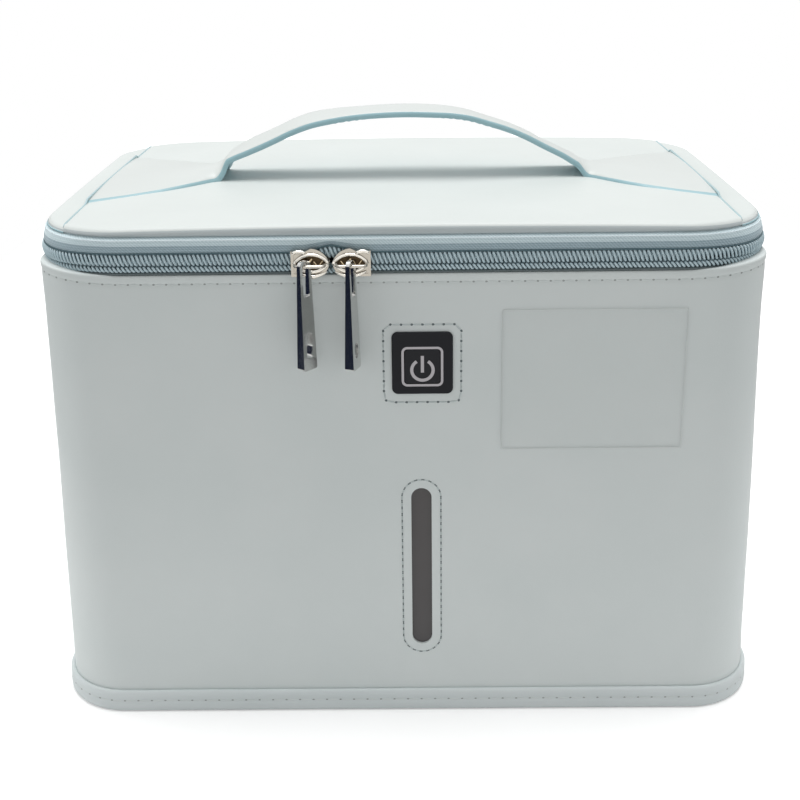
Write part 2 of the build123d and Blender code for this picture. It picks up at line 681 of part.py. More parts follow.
# Window pane: tinted sheet sewn behind the slit
with BuildPart() as window_pane:
    window_slit(front_plane(WINDOW_X, WINDOW_Z, LEATHER), PANE_BORDER, PANE, Mode.ADD)
save(window_pane, "window_pane")

# Button housing: the plate that shows, its frame behind the leather and the boss behind that
with BuildPart() as button_housing:
    pocket(
        front_plane(BUTTON_X, BUTTON_Z, -PLATE_PROUD),
        PLATE_WIDTH,
        PLATE_HEIGHT,
        PLATE_CORNER,
        PLATE_PROUD + LEATHER,
        Mode.ADD,
    )
    fillet(button_housing.faces().sort_by(Axis.Y)[0].edges(), radius=PLATE_PROUD / 2)
    frame_front = front_plane(BOX_X, BOX_Z, LEATHER)
    pocket(frame_front, FRAME_WIDTH, FRAME_HEIGHT, BOX_CORNER, FRAME_THICKNESS, Mode.ADD)
    pocket(
        front_plane(BUTTON_X, BUTTON_SPOT_Z, LEATHER),
        PLATE_WIDTH,
        PLATE_WIDTH,
        PLATE_CORNER,
        HOUSING_BACK - LEATHER,
        Mode.ADD,
    )
    button_square(-PLATE_PROUD, RING_SIZE, RING_CORNER, RING_SINK, Mode.SUBTRACT)
    button_square(-PLATE_PROUD, CAP_HOLE, RING_CORNER - RING_LINE, 2 * HOUSING_BACK, Mode.SUBTRACT)
    lip_room = CAP_LIP_SIZE + 2 * CAP_GAP
    button_square(CAP_LIP_DEPTH - CAP_GAP, lip_room, RING_CORNER, HOUSING_BACK, Mode.SUBTRACT)
    rivet_shanks(LEATHER, 2 * SHELL, Mode.SUBTRACT)
save(button_housing, "button_housing")

# Button ring: bright square outline set into the plate
with BuildPart() as button_ring:
    ring_depth = RING_PROUD + RING_SINK
    button_square(-PLATE_PROUD - RING_PROUD, RING_SIZE, RING_CORNER, ring_depth, Mode.ADD)
    button_square(-PLATE_PROUD - RING_PROUD, CAP_HOLE, RING_CORNER - RING_LINE, ring_depth, Mode.SUBTRACT)
save(button_ring, "button_ring")

# Power button: the cap, with the lip that keeps it in and the stem that presses the switch
with BuildPart() as power_button:
    cap_front = -PLATE_PROUD - CAP_PROUD
    cap_corner = RING_CORNER - RING_LINE - CAP_GAP
    button_square(cap_front, CAP_SIZE, cap_corner, CAP_LIP_DEPTH - cap_front, Mode.ADD)
    fillet(power_button.faces().sort_by(Axis.Y)[0].edges(), radius=CAP_PROUD)
    button_square(CAP_LIP_DEPTH, CAP_LIP_SIZE, RING_CORNER, CAP_LIP_THICKNESS, Mode.ADD)
    stem_top = front_plane(BUTTON_X, BUTTON_SPOT_Z, CAP_LIP_DEPTH)
    round_hole(stem_top, CAP_STEM / 2, CAP_STEM_DEPTH - CAP_LIP_DEPTH, Mode.ADD)
save(power_button, "power_button")

# Switch plunger: rides with the cap, in the switch's well
with BuildPart() as switch_plunger:
    round_hole(front_plane(BUTTON_X, BUTTON_SPOT_Z, CAP_STEM_DEPTH), PLUNGER / 2, PLUNGER_LENGTH, Mode.ADD)
save(switch_plunger, "switch_plunger")

# Tactile switch, soldered to the control board
with BuildPart() as tactile_switch:
    switch_front = front_plane(BUTTON_X, BUTTON_SPOT_Z, BOARD_DEPTH - SWITCH_THICKNESS)
    pocket(switch_front, SWITCH, SWITCH, PLUNGER_GAP, SWITCH_THICKNESS, Mode.ADD)
    round_hole(switch_front, PLUNGER / 2 + PLUNGER_GAP, PLUNGER_WELL)
save(tactile_switch, "tactile_switch")

# Control board with its driver, coil and terminal
with BuildPart() as control_board:
    board_front = front_plane(BOX_X, BOX_Z, BOARD_DEPTH)
    pocket(board_front, BOARD_WIDTH, BOARD_HEIGHT, BOARD, BOARD, Mode.ADD)
    with BuildSketch(board_front):
        with post_places():
            Circle(BOARD_HOLE / 2)
    extrude(amount=-BOARD * SQUARE, mode=Mode.SUBTRACT)
    with BuildSketch(front_plane(BOX_X, BOX_Z, BOARD_DEPTH + BOARD)):
        with Locations((DRIVER_X, 0)):
            Rectangle(DRIVER, DRIVER)
        with Locations((-DRIVER_X, 0)):
            Circle(DRIVER / 2)
    extrude(amount=-DRIVER_HEIGHT * SQUARE)
save(control_board, "control_board")

# Control cover: the box on the liner, its flange, and posts for the board
with BuildPart() as control_cover:
    pocket(front_plane(BOX_X, BOX_Z, LINED), BOX_WIDTH, BOX_HEIGHT, BOX_CORNER, BOX_DEPTH, Mode.ADD)
    fillet(control_cover.faces().sort_by(Axis.Y)[-1].edges(), radius=BOX_WALL)
    flange_front = front_plane(BOX_X, BOX_Z, LINED)
    pocket(flange_front, FRAME_WIDTH, FRAME_HEIGHT, BOX_CORNER, FLANGE_THICKNESS, Mode.ADD)
    pocket(
        front_plane(BOX_X, BOX_Z, LINED),
        BOX_WIDTH - 2 * BOX_WALL,
        BOX_HEIGHT - 2 * BOX_WALL,
        BOX_CORNER - BOX_WALL,
        BOX_DEPTH - BOX_WALL,
    )
    with BuildSketch(front_plane(BOX_X, BOX_Z, BOARD_DEPTH + BOARD)):
        with post_places():
            Circle(POST / 2)
            Circle(PILOT / 2, mode=Mode.SUBTRACT)
    extrude(amount=-(COVER_BACK - BOX_WALL / 2 - BOARD_DEPTH - BOARD) * SQUARE)
    rivet_shanks(LINED, 2 * SHELL, Mode.SUBTRACT)
save(control_cover, "control_cover")

# Board screws: four that hold the board to the cover's posts
with BuildPart() as board_screws:
    with BuildSketch(front_plane(BOX_X, BOX_Z, BOARD_DEPTH - SCREW_HEAD_THICKNESS)):
        with post_places():
            Circle(SCREW_HEAD / 2)
    extrude(amount=-SCREW_HEAD_THICKNESS * SQUARE)
    with BuildSketch(front_plane(BOX_X, BOX_Z, BOARD_DEPTH)):
        with post_places():
            Circle(SCREW_SHANK / 2)
    extrude(amount=-SCREW_LENGTH * SQUARE)
save(board_screws, "board_screws")

# Wall rivets: four that clamp the cover's flange through the wall to the frame
with BuildPart() as wall_rivets:
    rivet_shanks(LEATHER, LINED + FLANGE_THICKNESS - LEATHER, Mode.ADD)
    with BuildSketch(front_plane(BOX_X, BOX_Z, LINED + FLANGE_THICKNESS)):
        with rivet_places():
            Circle(RIVET_HEAD / 2)
    extrude(amount=-RIVET_HEAD_THICKNESS * SQUARE)
save(wall_rivets, "wall_rivets")

# Power inlet: a round low-voltage socket with its centre pin
with BuildPart() as power_inlet:
    bezel_front = back_plane(INLET_X, INLET_Z, -INLET_BEZEL_PROUD)
    round_hole(bezel_front, INLET_BEZEL / 2, INLET_BEZEL_PROUD, Mode.ADD)
    fillet(power_inlet.faces().sort_by(Axis.Y)[-1].edges(), radius=INLET_BEZEL_PROUD / 2)
    round_hole(back_plane(INLET_X, INLET_Z), INLET_BODY / 2, INLET_DEPTH, Mode.ADD)
    round_hole(bezel_front, INLET_BORE / 2, INLET_BORE_DEPTH)
    round_hole(back_plane(INLET_X, INLET_Z), INLET_PIN / 2, INLET_BORE_DEPTH, Mode.ADD)
save(power_inlet, "power_inlet")

# Inlet nut: holds the socket against the wall from inside
with BuildPart() as inlet_nut:
    with BuildSketch(back_plane(INLET_X, INLET_Z, LINED)):
        RegularPolygon(NUT_ACROSS / 2, 6, major_radius=False)
        Circle(INLET_BODY / 2, mode=Mode.SUBTRACT)
    extrude(amount=-NUT_THICKNESS * SQUARE)
save(inlet_nut, "inlet_nut")

# Lid switch: senses the magnet in the lid
with BuildPart() as lid_switch:
    sensor_front = front_plane(SENSOR_X, SENSOR_Z, TAPE_BACK)
    pocket(sensor_front, SENSOR_WIDTH, SENSOR_HEIGHT, TAPE, SHELL - TAPE_BACK, Mode.ADD)
save(lid_switch, "lid_switch")

# Label film: a clear, bare film on the front
with BuildPart() as label_film:
    pocket(front_plane(FILM_X, FILM_Z, -FILM), FILM_WIDTH, FILM_HEIGHT, FILM, FILM, Mode.ADD)
save(label_film, "label_film")

# Zip tapes, one for each side, stopping at the straight of the back wall
with BuildPart() as zip_tape_lower:
    wall_block(TAPE_BASE, BODY_TOP, LEATHER)
    wall_block(TAPE_BASE, BODY_TOP - TAPE, TAPE_BACK, Mode.SUBTRACT)
    lid_block(BODY_TOP, LOWER_COIL_TOP, LEATHER)
    lid_block(TAPE_BASE, LOWER_COIL_TOP, TAPE_BACK, Mode.SUBTRACT)
    rear_straight_block(Mode.SUBTRACT)
save(zip_tape_lower, "zip_tape_lower")

with BuildPart() as zip_tape_upper:
    lid_block(UPPER_COIL_BASE, UPPER_TAPE_TOP, LEATHER)
    lid_block(UPPER_COIL_BASE, UPPER_TAPE_TOP, TAPE_BACK, Mode.SUBTRACT)
    rear_straight_block(Mode.SUBTRACT)
save(zip_tape_upper, "zip_tape_upper")

# Zip coils: the rounded envelope of each row of teeth
with BuildPart() as zip_coil_lower:
    coil_row(zip_coil_lower, COIL_BASE)
save(zip_coil_lower, "zip_coil_lower")

with BuildPart() as zip_coil_upper:
    coil_row(zip_coil_upper, UPPER_COIL_BASE)
save(zip_coil_upper, "zip_coil_upper")

# Hinge strip: the web that joins lid and body along the back
with BuildPart() as hinge_strip:
    wall_block(HINGE_BASE, BODY_TOP, LEATHER)
    lid_block(BODY_TOP, UPPER_TAPE_TOP, LEATHER)
    wall_block(HINGE_BASE, BODY_TOP, TAPE_BACK, Mode.SUBTRACT)
    lid_block(BODY_TOP, UPPER_TAPE_TOP, TAPE_BACK, Mode.SUBTRACT)
    with Locations((0, HALF_DEPTH, BODY_TOP)):
        Box(HINGE_WIDTH, 2 * CORNER_RADIUS, TALL, mode=Mode.INTERSECT)
save(hinge_strip, "hinge_strip")

# Hinge lead: the bare flat lead that bends with the hinge
with BuildPart() as hinge_lead:
    lead_slot(CORE_TOP, LID_BOARD_BASE, FLEX_Y - FLEX / 2, FLEX_Y + FLEX / 2, Mode.ADD)
save(hinge_lead, "hinge_lead")

# Lid lead: from the hinge along the board's underside, then down to the lamp's board
with BuildPart() as lid_lead:
    lead_slot(LID_BOARD_BASE, LID_BOARD_BASE + LEAD, LAMP_TAIL_Y, FLEX_Y + LEAD / 2, Mode.ADD)
    lead_slot(LID_LINER_BASE, LID_BOARD_BASE, LAMP_TAIL_Y, LAMP_TAIL_Y + LEAD, Mode.ADD)
save(lid_lead, "lid_lead")

# Lid magnet: a disc in the board, over the lid switch
with BuildPart() as lid_magnet:
    with Locations((SENSOR_X, MAGNET_Y, LID_BOARD_BASE + LID_BOARD / 2)):
        Cylinder(MAGNET / 2, LID_BOARD)
save(lid_magnet, "lid_magnet")

# Lid leather: one domed shell, then parted along the two side seams
with BuildPart() as lid_inside:
    domed_block(lid_inside, LID_SEAM, LEATHER, LEATHER)

with BuildPart() as lid_leather:
    domed_block(lid_leather, LID_SEAM, 0, 0)
    add(lid_inside.part, mode=Mode.SUBTRACT)
    with BuildSketch(Plane.XY.offset(LID_SEAM)):
        RectangleRounded(LID_WIDTH - 2 * LEATHER, BAG_DEPTH - 2 * LEATHER, CORNER_RADIUS - LEATHER)
        RectangleRounded(
            LID_WIDTH - 2 * TAPE_BACK,
            BAG_DEPTH - 2 * TAPE_BACK,
            CORNER_RADIUS - TAPE_BACK,
            mode=Mode.SUBTRACT,
        )
    extrude(amount=UPPER_TAPE_TOP - LID_SEAM, mode=Mode.SUBTRACT)

for piece, middle, width in (
    ("lid_cover", 0, 2 * SIDE_SEAM),
    ("lid_side_left", -(SIDE_SEAM + TALL / 2), TALL),
    ("lid_side_right", SIDE_SEAM + TALL / 2, TALL),
):
    with BuildPart() as lid_panel:
        add(lid_leather.part)
        with Locations((middle, 0, LID_TOP)):
            Box(width, TALL, TALL, mode=Mode.INTERSECT)
        for seam in (-SIDE_SEAM, SIDE_SEAM):
            with Locations((seam, 0, lid_height(SIDE_SEAM, 0))):
                Box(2 * SEAM_GROOVE, TALL, 2 * SEAM_GROOVE, rotation=(0, SEAM_ANGLE, 0), mode=Mode.SUBTRACT)
    save(lid_panel, piece)

# Lid core: the foam under the lid's leather
with BuildPart() as lid_core:
    domed_block(lid_core, LID_CORE_BASE, TAPE_BACK, LEATHER + SEAT)
save(lid_core, "lid_core")

# Lid board: the stiff sheet that carries the lamp
with BuildPart() as lid_board:
    lid_block(LID_BOARD_BASE, LID_CORE_BASE, TAPE_BACK)
    lamp_screw_pins(LID_BOARD_BASE, LID_BOARD_BASE + LAMP_SCREW_BITE, SCREW_SHANK / 2, Mode.SUBTRACT)
    add(lid_lead.part, mode=Mode.SUBTRACT)
    add(lid_magnet.part, mode=Mode.SUBTRACT)
save(lid_board, "lid_board")

# Lid liner: the reflective sheet under the board
with BuildPart() as lid_liner:
    lid_block(LID_LINER_BASE, LID_BOARD_BASE, TAPE_BACK)
    lamp_screw_pins(LID_LINER_BASE, LID_BOARD_BASE, LAMP_SCREW_HOLE / 2, Mode.SUBTRACT)
    add(lid_lead.part, mode=Mode.SUBTRACT)
    add(hinge_lead.part, mode=Mode.SUBTRACT)
save(lid_liner, "lid_liner")

# Lamp housing: a shallow tray with a window below, ribs at its ends and four screw bosses
with BuildPart() as lamp_housing:
    lamp_block(LAMP_BASE, LID_LINER_BASE, LAMP_WIDTH, LAMP_DEPTH, LAMP_CORNER)
    fillet(lamp_housing.edges().group_by(Axis.Z)[0], radius=LAMP_FACE / 2)
    lamp_block(
        LAMP_BASE + LAMP_FACE,
        LID_LINER_BASE,
        LAMP_WIDTH - 2 * LAMP_WALL,
        LAMP_DEPTH - 2 * LAMP_WALL,
        LAMP_CORNER - LAMP_WALL,
        Mode.SUBTRACT,
    )
    for side in (-1, 1):
        with Locations((side * (RIB_INNER + LAMP_RIB / 2), 0, LAMP_BASE + LAMP_FACE)):
            Box(
                LAMP_RIB,
                LED_BOARD_DEPTH,
                LED_BOARD_BASE - LAMP_BASE - LAMP_FACE,
                align=(Align.CENTER, Align.CENTER, Align.MIN),
            )
    lamp_screw_pins(LAMP_BASE + LAMP_FACE, LID_LINER_BASE, LAMP_BOSS / 2)
    lamp_screw_pins(LAMP_BASE, LID_LINER_BASE, LAMP_SCREW_HOLE / 2, Mode.SUBTRACT)
    lamp_screw_pins(LAMP_BASE, LAMP_BASE + LAMP_SCREW_SINK, LAMP_SCREW_HEAD_HOLE / 2, Mode.SUBTRACT)
    lamp_block(
        LAMP_BASE,
        LAMP_BASE + LAMP_FACE,
        LENS_WIDTH - 2 * LENS_LEDGE,
        LENS_DEPTH - 2 * LENS_LEDGE,
        LENS_LEDGE,
        Mode.SUBTRACT,
    )
save(lamp_housing, "lamp_housing")

# Lamp lens: a clear sheet on the ledge inside the window
with BuildPart() as lamp_lens:
    lamp_block(LAMP_BASE + LAMP_FACE, LAMP_BASE + LAMP_FACE + LENS, LENS_WIDTH, LENS_DEPTH, LENS_LEDGE)
save(lamp_lens, "lamp_lens")

# Lamp board, held between the ribs and the liner
with BuildPart() as lamp_board:
    lamp_block(LED_BOARD_BASE, LID_LINER_BASE, LED_BOARD_WIDTH, LED_BOARD_DEPTH, LENS_LEDGE)
save(lamp_board, "lamp_board")

# Ultraviolet lamps: two rows of packages with clear domes, facing down
with BuildPart() as uv_lamps:
    with BuildSketch(Plane.XY.offset(LED_BOARD_BASE)):
        with GridLocations(LED_PITCH_X, LED_PITCH_Y, LED_COLUMNS, LED_ROWS):
            Rectangle(LED_SIZE, LED_SIZE)
    extrude(amount=-LED_THICKNESS)
    with BuildSketch(Plane.XY.offset(LED_BOARD_BASE - LED_THICKNESS)):
        with GridLocations(LED_PITCH_X, LED_PITCH_Y, LED_COLUMNS, LED_ROWS):
            Circle(LED_DOME)
    extrude(amount=-LED_DOME, taper=LED_DOME_TAPER)
save(uv_lamps, "uv_lamps")

# Lamp screws: four, through the housing and liner into the board
with BuildPart() as lamp_screws:
    head_top = LAMP_BASE + LAMP_SCREW_SINK
    lamp_screw_pins(head_top - SCREW_HEAD_THICKNESS, head_top, SCREW_HEAD / 2)
    lamp_screw_pins(head_top, LID_BOARD_BASE + LAMP_SCREW_BITE, SCREW_SHANK / 2)
save(lamp_screws, "lamp_screws")

# Handle: a soft strap that rises from two wings sewn to the lid
with BuildPart() as handle_strap:
    strap_points = [
        (HANDLE_SHIFT - ROOT_X, lid_height(HANDLE_SHIFT - ROOT_X, 0)),
        strap_point(*LEFT_KNEE),
        strap_point(*LEFT_SHOULDER),
        strap_point(CROWN_SHARE, 1),
        strap_point(CROWN_SHARE, 1, 1),
        strap_point(*RIGHT_SHOULDER, 1),
        (HANDLE_SHIFT + ROOT_X, lid_height(HANDLE_SHIFT + ROOT_X, 0)),
    ]
    bends = [bend_radius(*run) for run in zip(strap_points, strap_points[1:], strap_points[2:])]
    with BuildSketch(Plane.XZ):
        with BuildLine():
            FilletPolyline(*strap_points, radius=bends)
        trace(line_width=HANDLE_THICKNESS)
    extrude(amount=HANDLE_WIDTH / 2, both=True)
    wing(-1, LEFT_ROOT_RISE)
    wing(1, RIGHT_ROOT_RISE)
    dome(-SEAT, Mode.SUBTRACT)
save(handle_strap, "handle_strap")

# Sliders: they meet nose to nose when the case is shut
with BuildPart() as left_slider:
    slider(LEFT_SLIDER_X, 1)
save(left_slider, "left_slider")

with BuildPart() as right_slider:
    slider(RIGHT_SLIDER_X, -1)
save(right_slider, "right_slider")

# Pulls: each hangs from its slider's bridge, turned a little about its length
with BuildPart() as left_pull:
    pull(LEFT_SLIDER_X + LEFT_PULL_SHIFT, LEFT_PULL_TWIST)
save(left_pull, "left_pull")

with BuildPart() as right_pull:
    pull(RIGHT_SLIDER_X + RIGHT_PULL_SHIFT, RIGHT_PULL_TWIST)
save(right_pull, "right_pull")
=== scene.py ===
import bpy
import bmesh
import json
import math
import numpy as np
from mathutils import Matrix, Vector, noise

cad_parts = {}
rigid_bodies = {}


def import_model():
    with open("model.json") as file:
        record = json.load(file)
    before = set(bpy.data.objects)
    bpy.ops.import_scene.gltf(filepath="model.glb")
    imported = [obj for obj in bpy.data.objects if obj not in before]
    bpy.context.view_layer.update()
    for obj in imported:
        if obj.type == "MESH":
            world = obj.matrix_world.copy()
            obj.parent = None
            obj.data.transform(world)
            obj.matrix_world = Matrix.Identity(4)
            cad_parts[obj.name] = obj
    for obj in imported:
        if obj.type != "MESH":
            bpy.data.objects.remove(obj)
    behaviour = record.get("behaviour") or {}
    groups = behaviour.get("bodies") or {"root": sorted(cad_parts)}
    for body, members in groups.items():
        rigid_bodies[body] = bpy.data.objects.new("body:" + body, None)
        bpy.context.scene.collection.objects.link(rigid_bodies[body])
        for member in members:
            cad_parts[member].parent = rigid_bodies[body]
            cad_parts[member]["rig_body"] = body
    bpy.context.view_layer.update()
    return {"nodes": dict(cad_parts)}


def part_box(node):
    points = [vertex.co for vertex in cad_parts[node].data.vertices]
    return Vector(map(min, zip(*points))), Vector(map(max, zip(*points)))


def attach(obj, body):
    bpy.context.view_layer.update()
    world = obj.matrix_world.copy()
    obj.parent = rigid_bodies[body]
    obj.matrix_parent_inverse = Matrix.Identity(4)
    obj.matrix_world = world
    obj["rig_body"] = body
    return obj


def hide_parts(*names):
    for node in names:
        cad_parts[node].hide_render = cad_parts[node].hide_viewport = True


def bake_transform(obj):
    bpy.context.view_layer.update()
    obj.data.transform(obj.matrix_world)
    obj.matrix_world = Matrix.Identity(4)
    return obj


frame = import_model()
scene = bpy.context.scene

# Lengths are in millimetres. MM turns them into metres.
MM = 0.001

# Outlines from above: corner centre and corner radius
WALL = (125.2, 75.2, 24.8)
LID = (111.9, 63.0, 37.0)
HALF_DEPTH = 100.0

# Levels
LEAN = math.tan(math.radians(1.14))
BODY_TOP = 199.8
HEM_SEAM_Z = 195.95
FOOT_SEAM_Z = 5.35
LINER_FLOOR_Z = 4.8
LINER_LID_Z = 211.8
CROWN_TOP, CROWN_R = 220.6, 6000.0
ROLL = 2.6  # of the lid's edge

# Places on the front, and for the inlet on the back: x and height
SLIT = (6.9, 69.15)
PLATE = (7.7, 162.0)
BOX = (7.7, 156.0)
FILM_BOX = (77.3, 154.0)
INLET = (85.0, 149.0)
SIGN_Z = 159.2

# Zip
PARTING = -28.2  # where the two rows part, between the sliders
SLIDER_X = (("left", -36.4, 1), ("right", -20.0, -1))  # name, x, way of its nose
SLIDE_END = 111.0  # as far from the middle as a slider goes
ZIP_MIDDLE, FACE_Y = 204.6, -102.6
TAPE_FOOT_Z = 186.5
COIL_PITCH, COIL_WIRE, COIL_SLANT = 1.75, 0.52, -0.5
SEAM_X = 136.0  # of the lid's side seams

SHARP = math.radians(42)


# Shape of the case


def smooth(low, high, value):
    """0 below low, 1 above high, with a smooth step between."""
    t = min(1.0, max(0.0, (value - low) / (high - low)))
    return t * t * (3 - 2 * t)


def flare(z):
    """How far the leaning walls lie outside their outline at a height."""
    return (BODY_TOP - z) * LEAN


def lid_z(x, y):
    """Height of the domed top."""
    return CROWN_TOP - CROWN_R + math.sqrt(CROWN_R * CROWN_R - x * x - y * y)


def sag(x, y):
    """Slight unevenness of the padded top, none near its edge."""
    edge = min(LID[0] + LID[2] - abs(x), LID[1] + LID[2] - abs(y))
    return smooth(4, 30, edge) * 0.5 * noise.noise(Vector((x * 0.02, y * 0.025, 4.2)))


def bulge(nx, ny, z):
    """How far the zip stands out at the ends of the case, most at the foot of the upper tape."""
    side = smooth(0.15, 0.75, abs(nx)) * (1 - smooth(0.2, 0.9, ny))
    foot_up = 0.55 + 0.45 * smooth(200.0, 206.0, z)
    return 2.3 * side * foot_up * (1 - 0.9 * smooth(208.5, 215.2, z))


def hem_rise(x, y, z):
    """How far the top of the walls stands up towards the two front corners."""
    corner = smooth(SLIDE_END, 149.0, abs(x)) * (1 - smooth(-45.0, 10.0, y))
    return 2.6 * corner * smooth(165.0, 194.0, z)


def arch(x, y):
    """How far the two rows are spread at a place, where they part between the sliders."""
    return math.exp(-(((x - PARTING) / 7.0) ** 2)) if y < -90 else 0.0


def reach(outline, guess, cx, cy, nx, ny):
    """How far an outline lies from a point inside it, along a direction."""
    for _ in range(30):
        dx = abs(cx + nx * guess) - outline[0]
        dy = abs(cy + ny * guess) - outline[1]
        outside = math.hypot(max(dx, 0), max(dy, 0)) + min(max(dx, dy), 0)
        guess += outline[2] - outside
    return guess


def on_front(x, z, out=0.0):
    """A point on the leaning front wall, so far out from its leather."""
    lean = math.atan(LEAN)
    return (x, -(HALF_DEPTH + flare(z)) - out * math.cos(lean), z + out * math.sin(lean))


FRONT = (0.0, -1.0, LEAN)


# Outlines and paths


def lengths(points):
    """The length along a line, at each of its points."""
    steps = np.linalg.norm(np.diff(points, axis=0), axis=1)
    return np.concatenate([[0], np.cumsum(steps)])


def unit(rows):
    """Directions made one long."""
    return rows / np.maximum(np.linalg.norm(rows, axis=1, keepdims=True), 1e-9)


def ring(outline, straight=3.0, arc=14, closed=True):
    """Centres and outward normals round an outline, from the back past the left, and lengths.

    Not closed, it stops where the zip stops, at the two ends of the back's straight.
    """
    cx, cy, radius = outline
    rows = []

    def run(a, b, n):
        a, b = np.array(a, float), np.array(b, float)
        count = max(1, int(round(np.linalg.norm(b - a) / straight)))
        for i in range(count):
            rows.append((*(a + (b - a) * i / count), *n))

    def turn(c, start):
        for i in range(arc):
            angle = math.radians(start + 90.0 * i / arc)
            rows.append((*c, math.cos(angle), math.sin(angle)))

    corners = ((-cx, cy), (-cx, -cy), (cx, -cy), (cx, cy))
    if closed:
        run((0, cy), corners[0], (0, 1))
    for k, normal in enumerate(((-1, 0), (0, -1), (1, 0))):
        turn(corners[k], 90 * (k + 1))
        run(corners[k], corners[k + 1], normal)
    turn(corners[3], 0)
    if closed:
        run(corners[3], (0, cy), (0, 1))
    else:
        rows.append((cx, cy, 0.0, 1.0))
    rows = np.array(rows)
    return rows, lengths(rows[:, :2] + rows[:, 2:] * radius)


def along_hem(rows, length, s):
    """The centre and normal of an outline at lengths along it."""
    i = np.clip(np.searchsorted(length, s) - 1, 0, len(length) - 2)
    t = ((s - length[i]) / (length[i + 1] - length[i]))[:, None]
    row = rows[i] * (1 - t) + rows[i + 1] * t
    row[:, 2:] = unit(row[:, 2:])
    return row


def outward(rows, r, z):
    """Points at a distance from the rows' centres, at a height."""
    z = np.broadcast_to(z, (len(rows),))
    return np.stack([rows[:, 0] + rows[:, 2] * r, rows[:, 1] + rows[:, 3] * r, z], axis=1)


def outline_path(outline, z, out):
    """A closed path round an outline and its normals."""
    rows, _ = ring(outline, 2.0, 24)
    path = outward(rows, outline[2] + out, z)
    normals = np.column_stack([rows[:, 2:], np.zeros(len(rows))])
    return np.vstack([path, path[:1]]), np.vstack([normals, normals[:1]])


def bent(points, count):
    """A smooth line through control points, as evenly spaced points."""
    points = np.asarray(points, float)
    at = lengths(points)
    slope = np.gradient(points, at, axis=0)
    fine = np.linspace(0, at[-1], count)
    k = np.clip(np.searchsorted(at, fine) - 1, 0, len(at) - 2)
    h = (at[k + 1] - at[k])[:, None]
    t = ((fine - at[k])[:, None]) / h
    return (
        (2 * t**3 - 3 * t**2 + 1) * points[k]
        + (t**3 - 2 * t**2 + t) * h * slope[k]
        + (-2 * t**3 + 3 * t**2) * points[k + 1]
        + (t**3 - t**2) * h * slope[k + 1]
    )


def rounded(cx, cz, width, height, corner, steps=8):
    """A rounded rectangle as a closed list of points."""
    points = []
    for sx, sz, start in ((1, 1, 0), (-1, 1, 90), (-1, -1, 180), (1, -1, 270)):
        x, z = cx + sx * (width / 2 - corner), cz + sz * (height / 2 - corner)
        for i in range(steps + 1):
            a = math.radians(start + 90 * i / steps)
            points.append((x + corner * math.cos(a), z + corner * math.sin(a)))
    return points


def lens(cx, cz, half_width, half_height, steps=18):
    """A pointed oval as a closed list of points."""
    radius = (half_width**2 + half_height**2) / (2 * half_height)
    turn = math.asin(half_width / radius)
    points = []
    for side in (1, -1):
        for i in range(steps):
            a = side * (turn - 2 * turn * i / steps)
            rise = radius * math.cos(a) - radius + half_height
            points.append((cx - radius * math.sin(a), cz + side * rise))
    return points


def wall_path(points):
    """A closed path on the front wall."""
    return [on_front(x, z) for x, z in [*points, points[0]]]


# Meshes


def quads(rows, columns, close_rows=False, close_columns=True, base=0):
    """The faces of a grid of points, either way of it closed into a ring or not."""
    faces = []
    for i in range(rows if close_rows else rows - 1):
        a, b = base + i * columns, base + (i + 1) % rows * columns
        for j in range(columns if close_columns else columns - 1):
            k = (j + 1) % columns
            faces.append((a + j, a + k, b + k, b + j))
    return faces


def caps(rows, columns):
    """The two end faces of such a grid."""
    return [tuple(range(columns)), tuple((rows - 1) * columns + j for j in range(columns))]


def dome(rows, columns):
    """The faces of a closed grid, and from its last row to one more point."""
    a = (rows - 1) * columns
    top = [(a + i, a + (i + 1) % columns, rows * columns) for i in range(columns)]
    return quads(rows, columns) + top


def face_outwards(mesh):
    bm = bmesh.new()
    bm.from_mesh(mesh)
    bmesh.ops.recalc_face_normals(bm, faces=bm.faces)
    bm.to_mesh(mesh)
    bm.free()


def add_object(name, data):
    obj = bpy.data.objects.new(name, data)
    scene.collection.objects.link(obj)
    return obj


def add_mesh(name, verts, faces):
    """An object from points in millimetres."""
    mesh = bpy.data.meshes.new(name)
    mesh.from_pydata([tuple(c * MM for c in v) for v in verts], [], faces)
    return add_object(name, mesh)


def piece(name, verts, faces, body, material, slot, uvs=None, shaded=True, mats=None):
    """A mesh riding on a body. uvs is one pair per vertex, mats one material index per face."""
    obj = add_mesh(name, verts, faces)
    mesh = obj.data
    for m in material if isinstance(material, list) else [material]:
        mesh.materials.append(m)
    if mats:
        mesh.polygons.foreach_set("material_index", mats)
    if uvs:
        layer = mesh.uv_layers.new(name="UVMap")
        index = np.zeros(len(mesh.loops), int)
        mesh.loops.foreach_get("vertex_index", index)
        layer.data.foreach_set("uv", np.asarray(uvs, float)[index].ravel())
    face_outwards(mesh)
    mesh.polygons.foreach_set("use_smooth", [shaded] * len(mesh.polygons))
    mesh.update()
    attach(obj, body)
    return obj


def loose(name, verts, faces, material, slot):
    """A mesh with no parent and no body, for a piece between two bodies."""
    uvs = [(v[0] * MM, v[2] * MM) for v in verts]
    obj = piece(name, verts, faces, "case", material, slot, uvs)
    obj.parent = None
    obj.matrix_world = Matrix.Identity(4)
    del obj["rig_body"]
    return obj


def add_modifier(obj, kind, **values):
    modifier = obj.modifiers.new(kind, kind)
    for key, value in values.items():
        setattr(modifier, key, value)


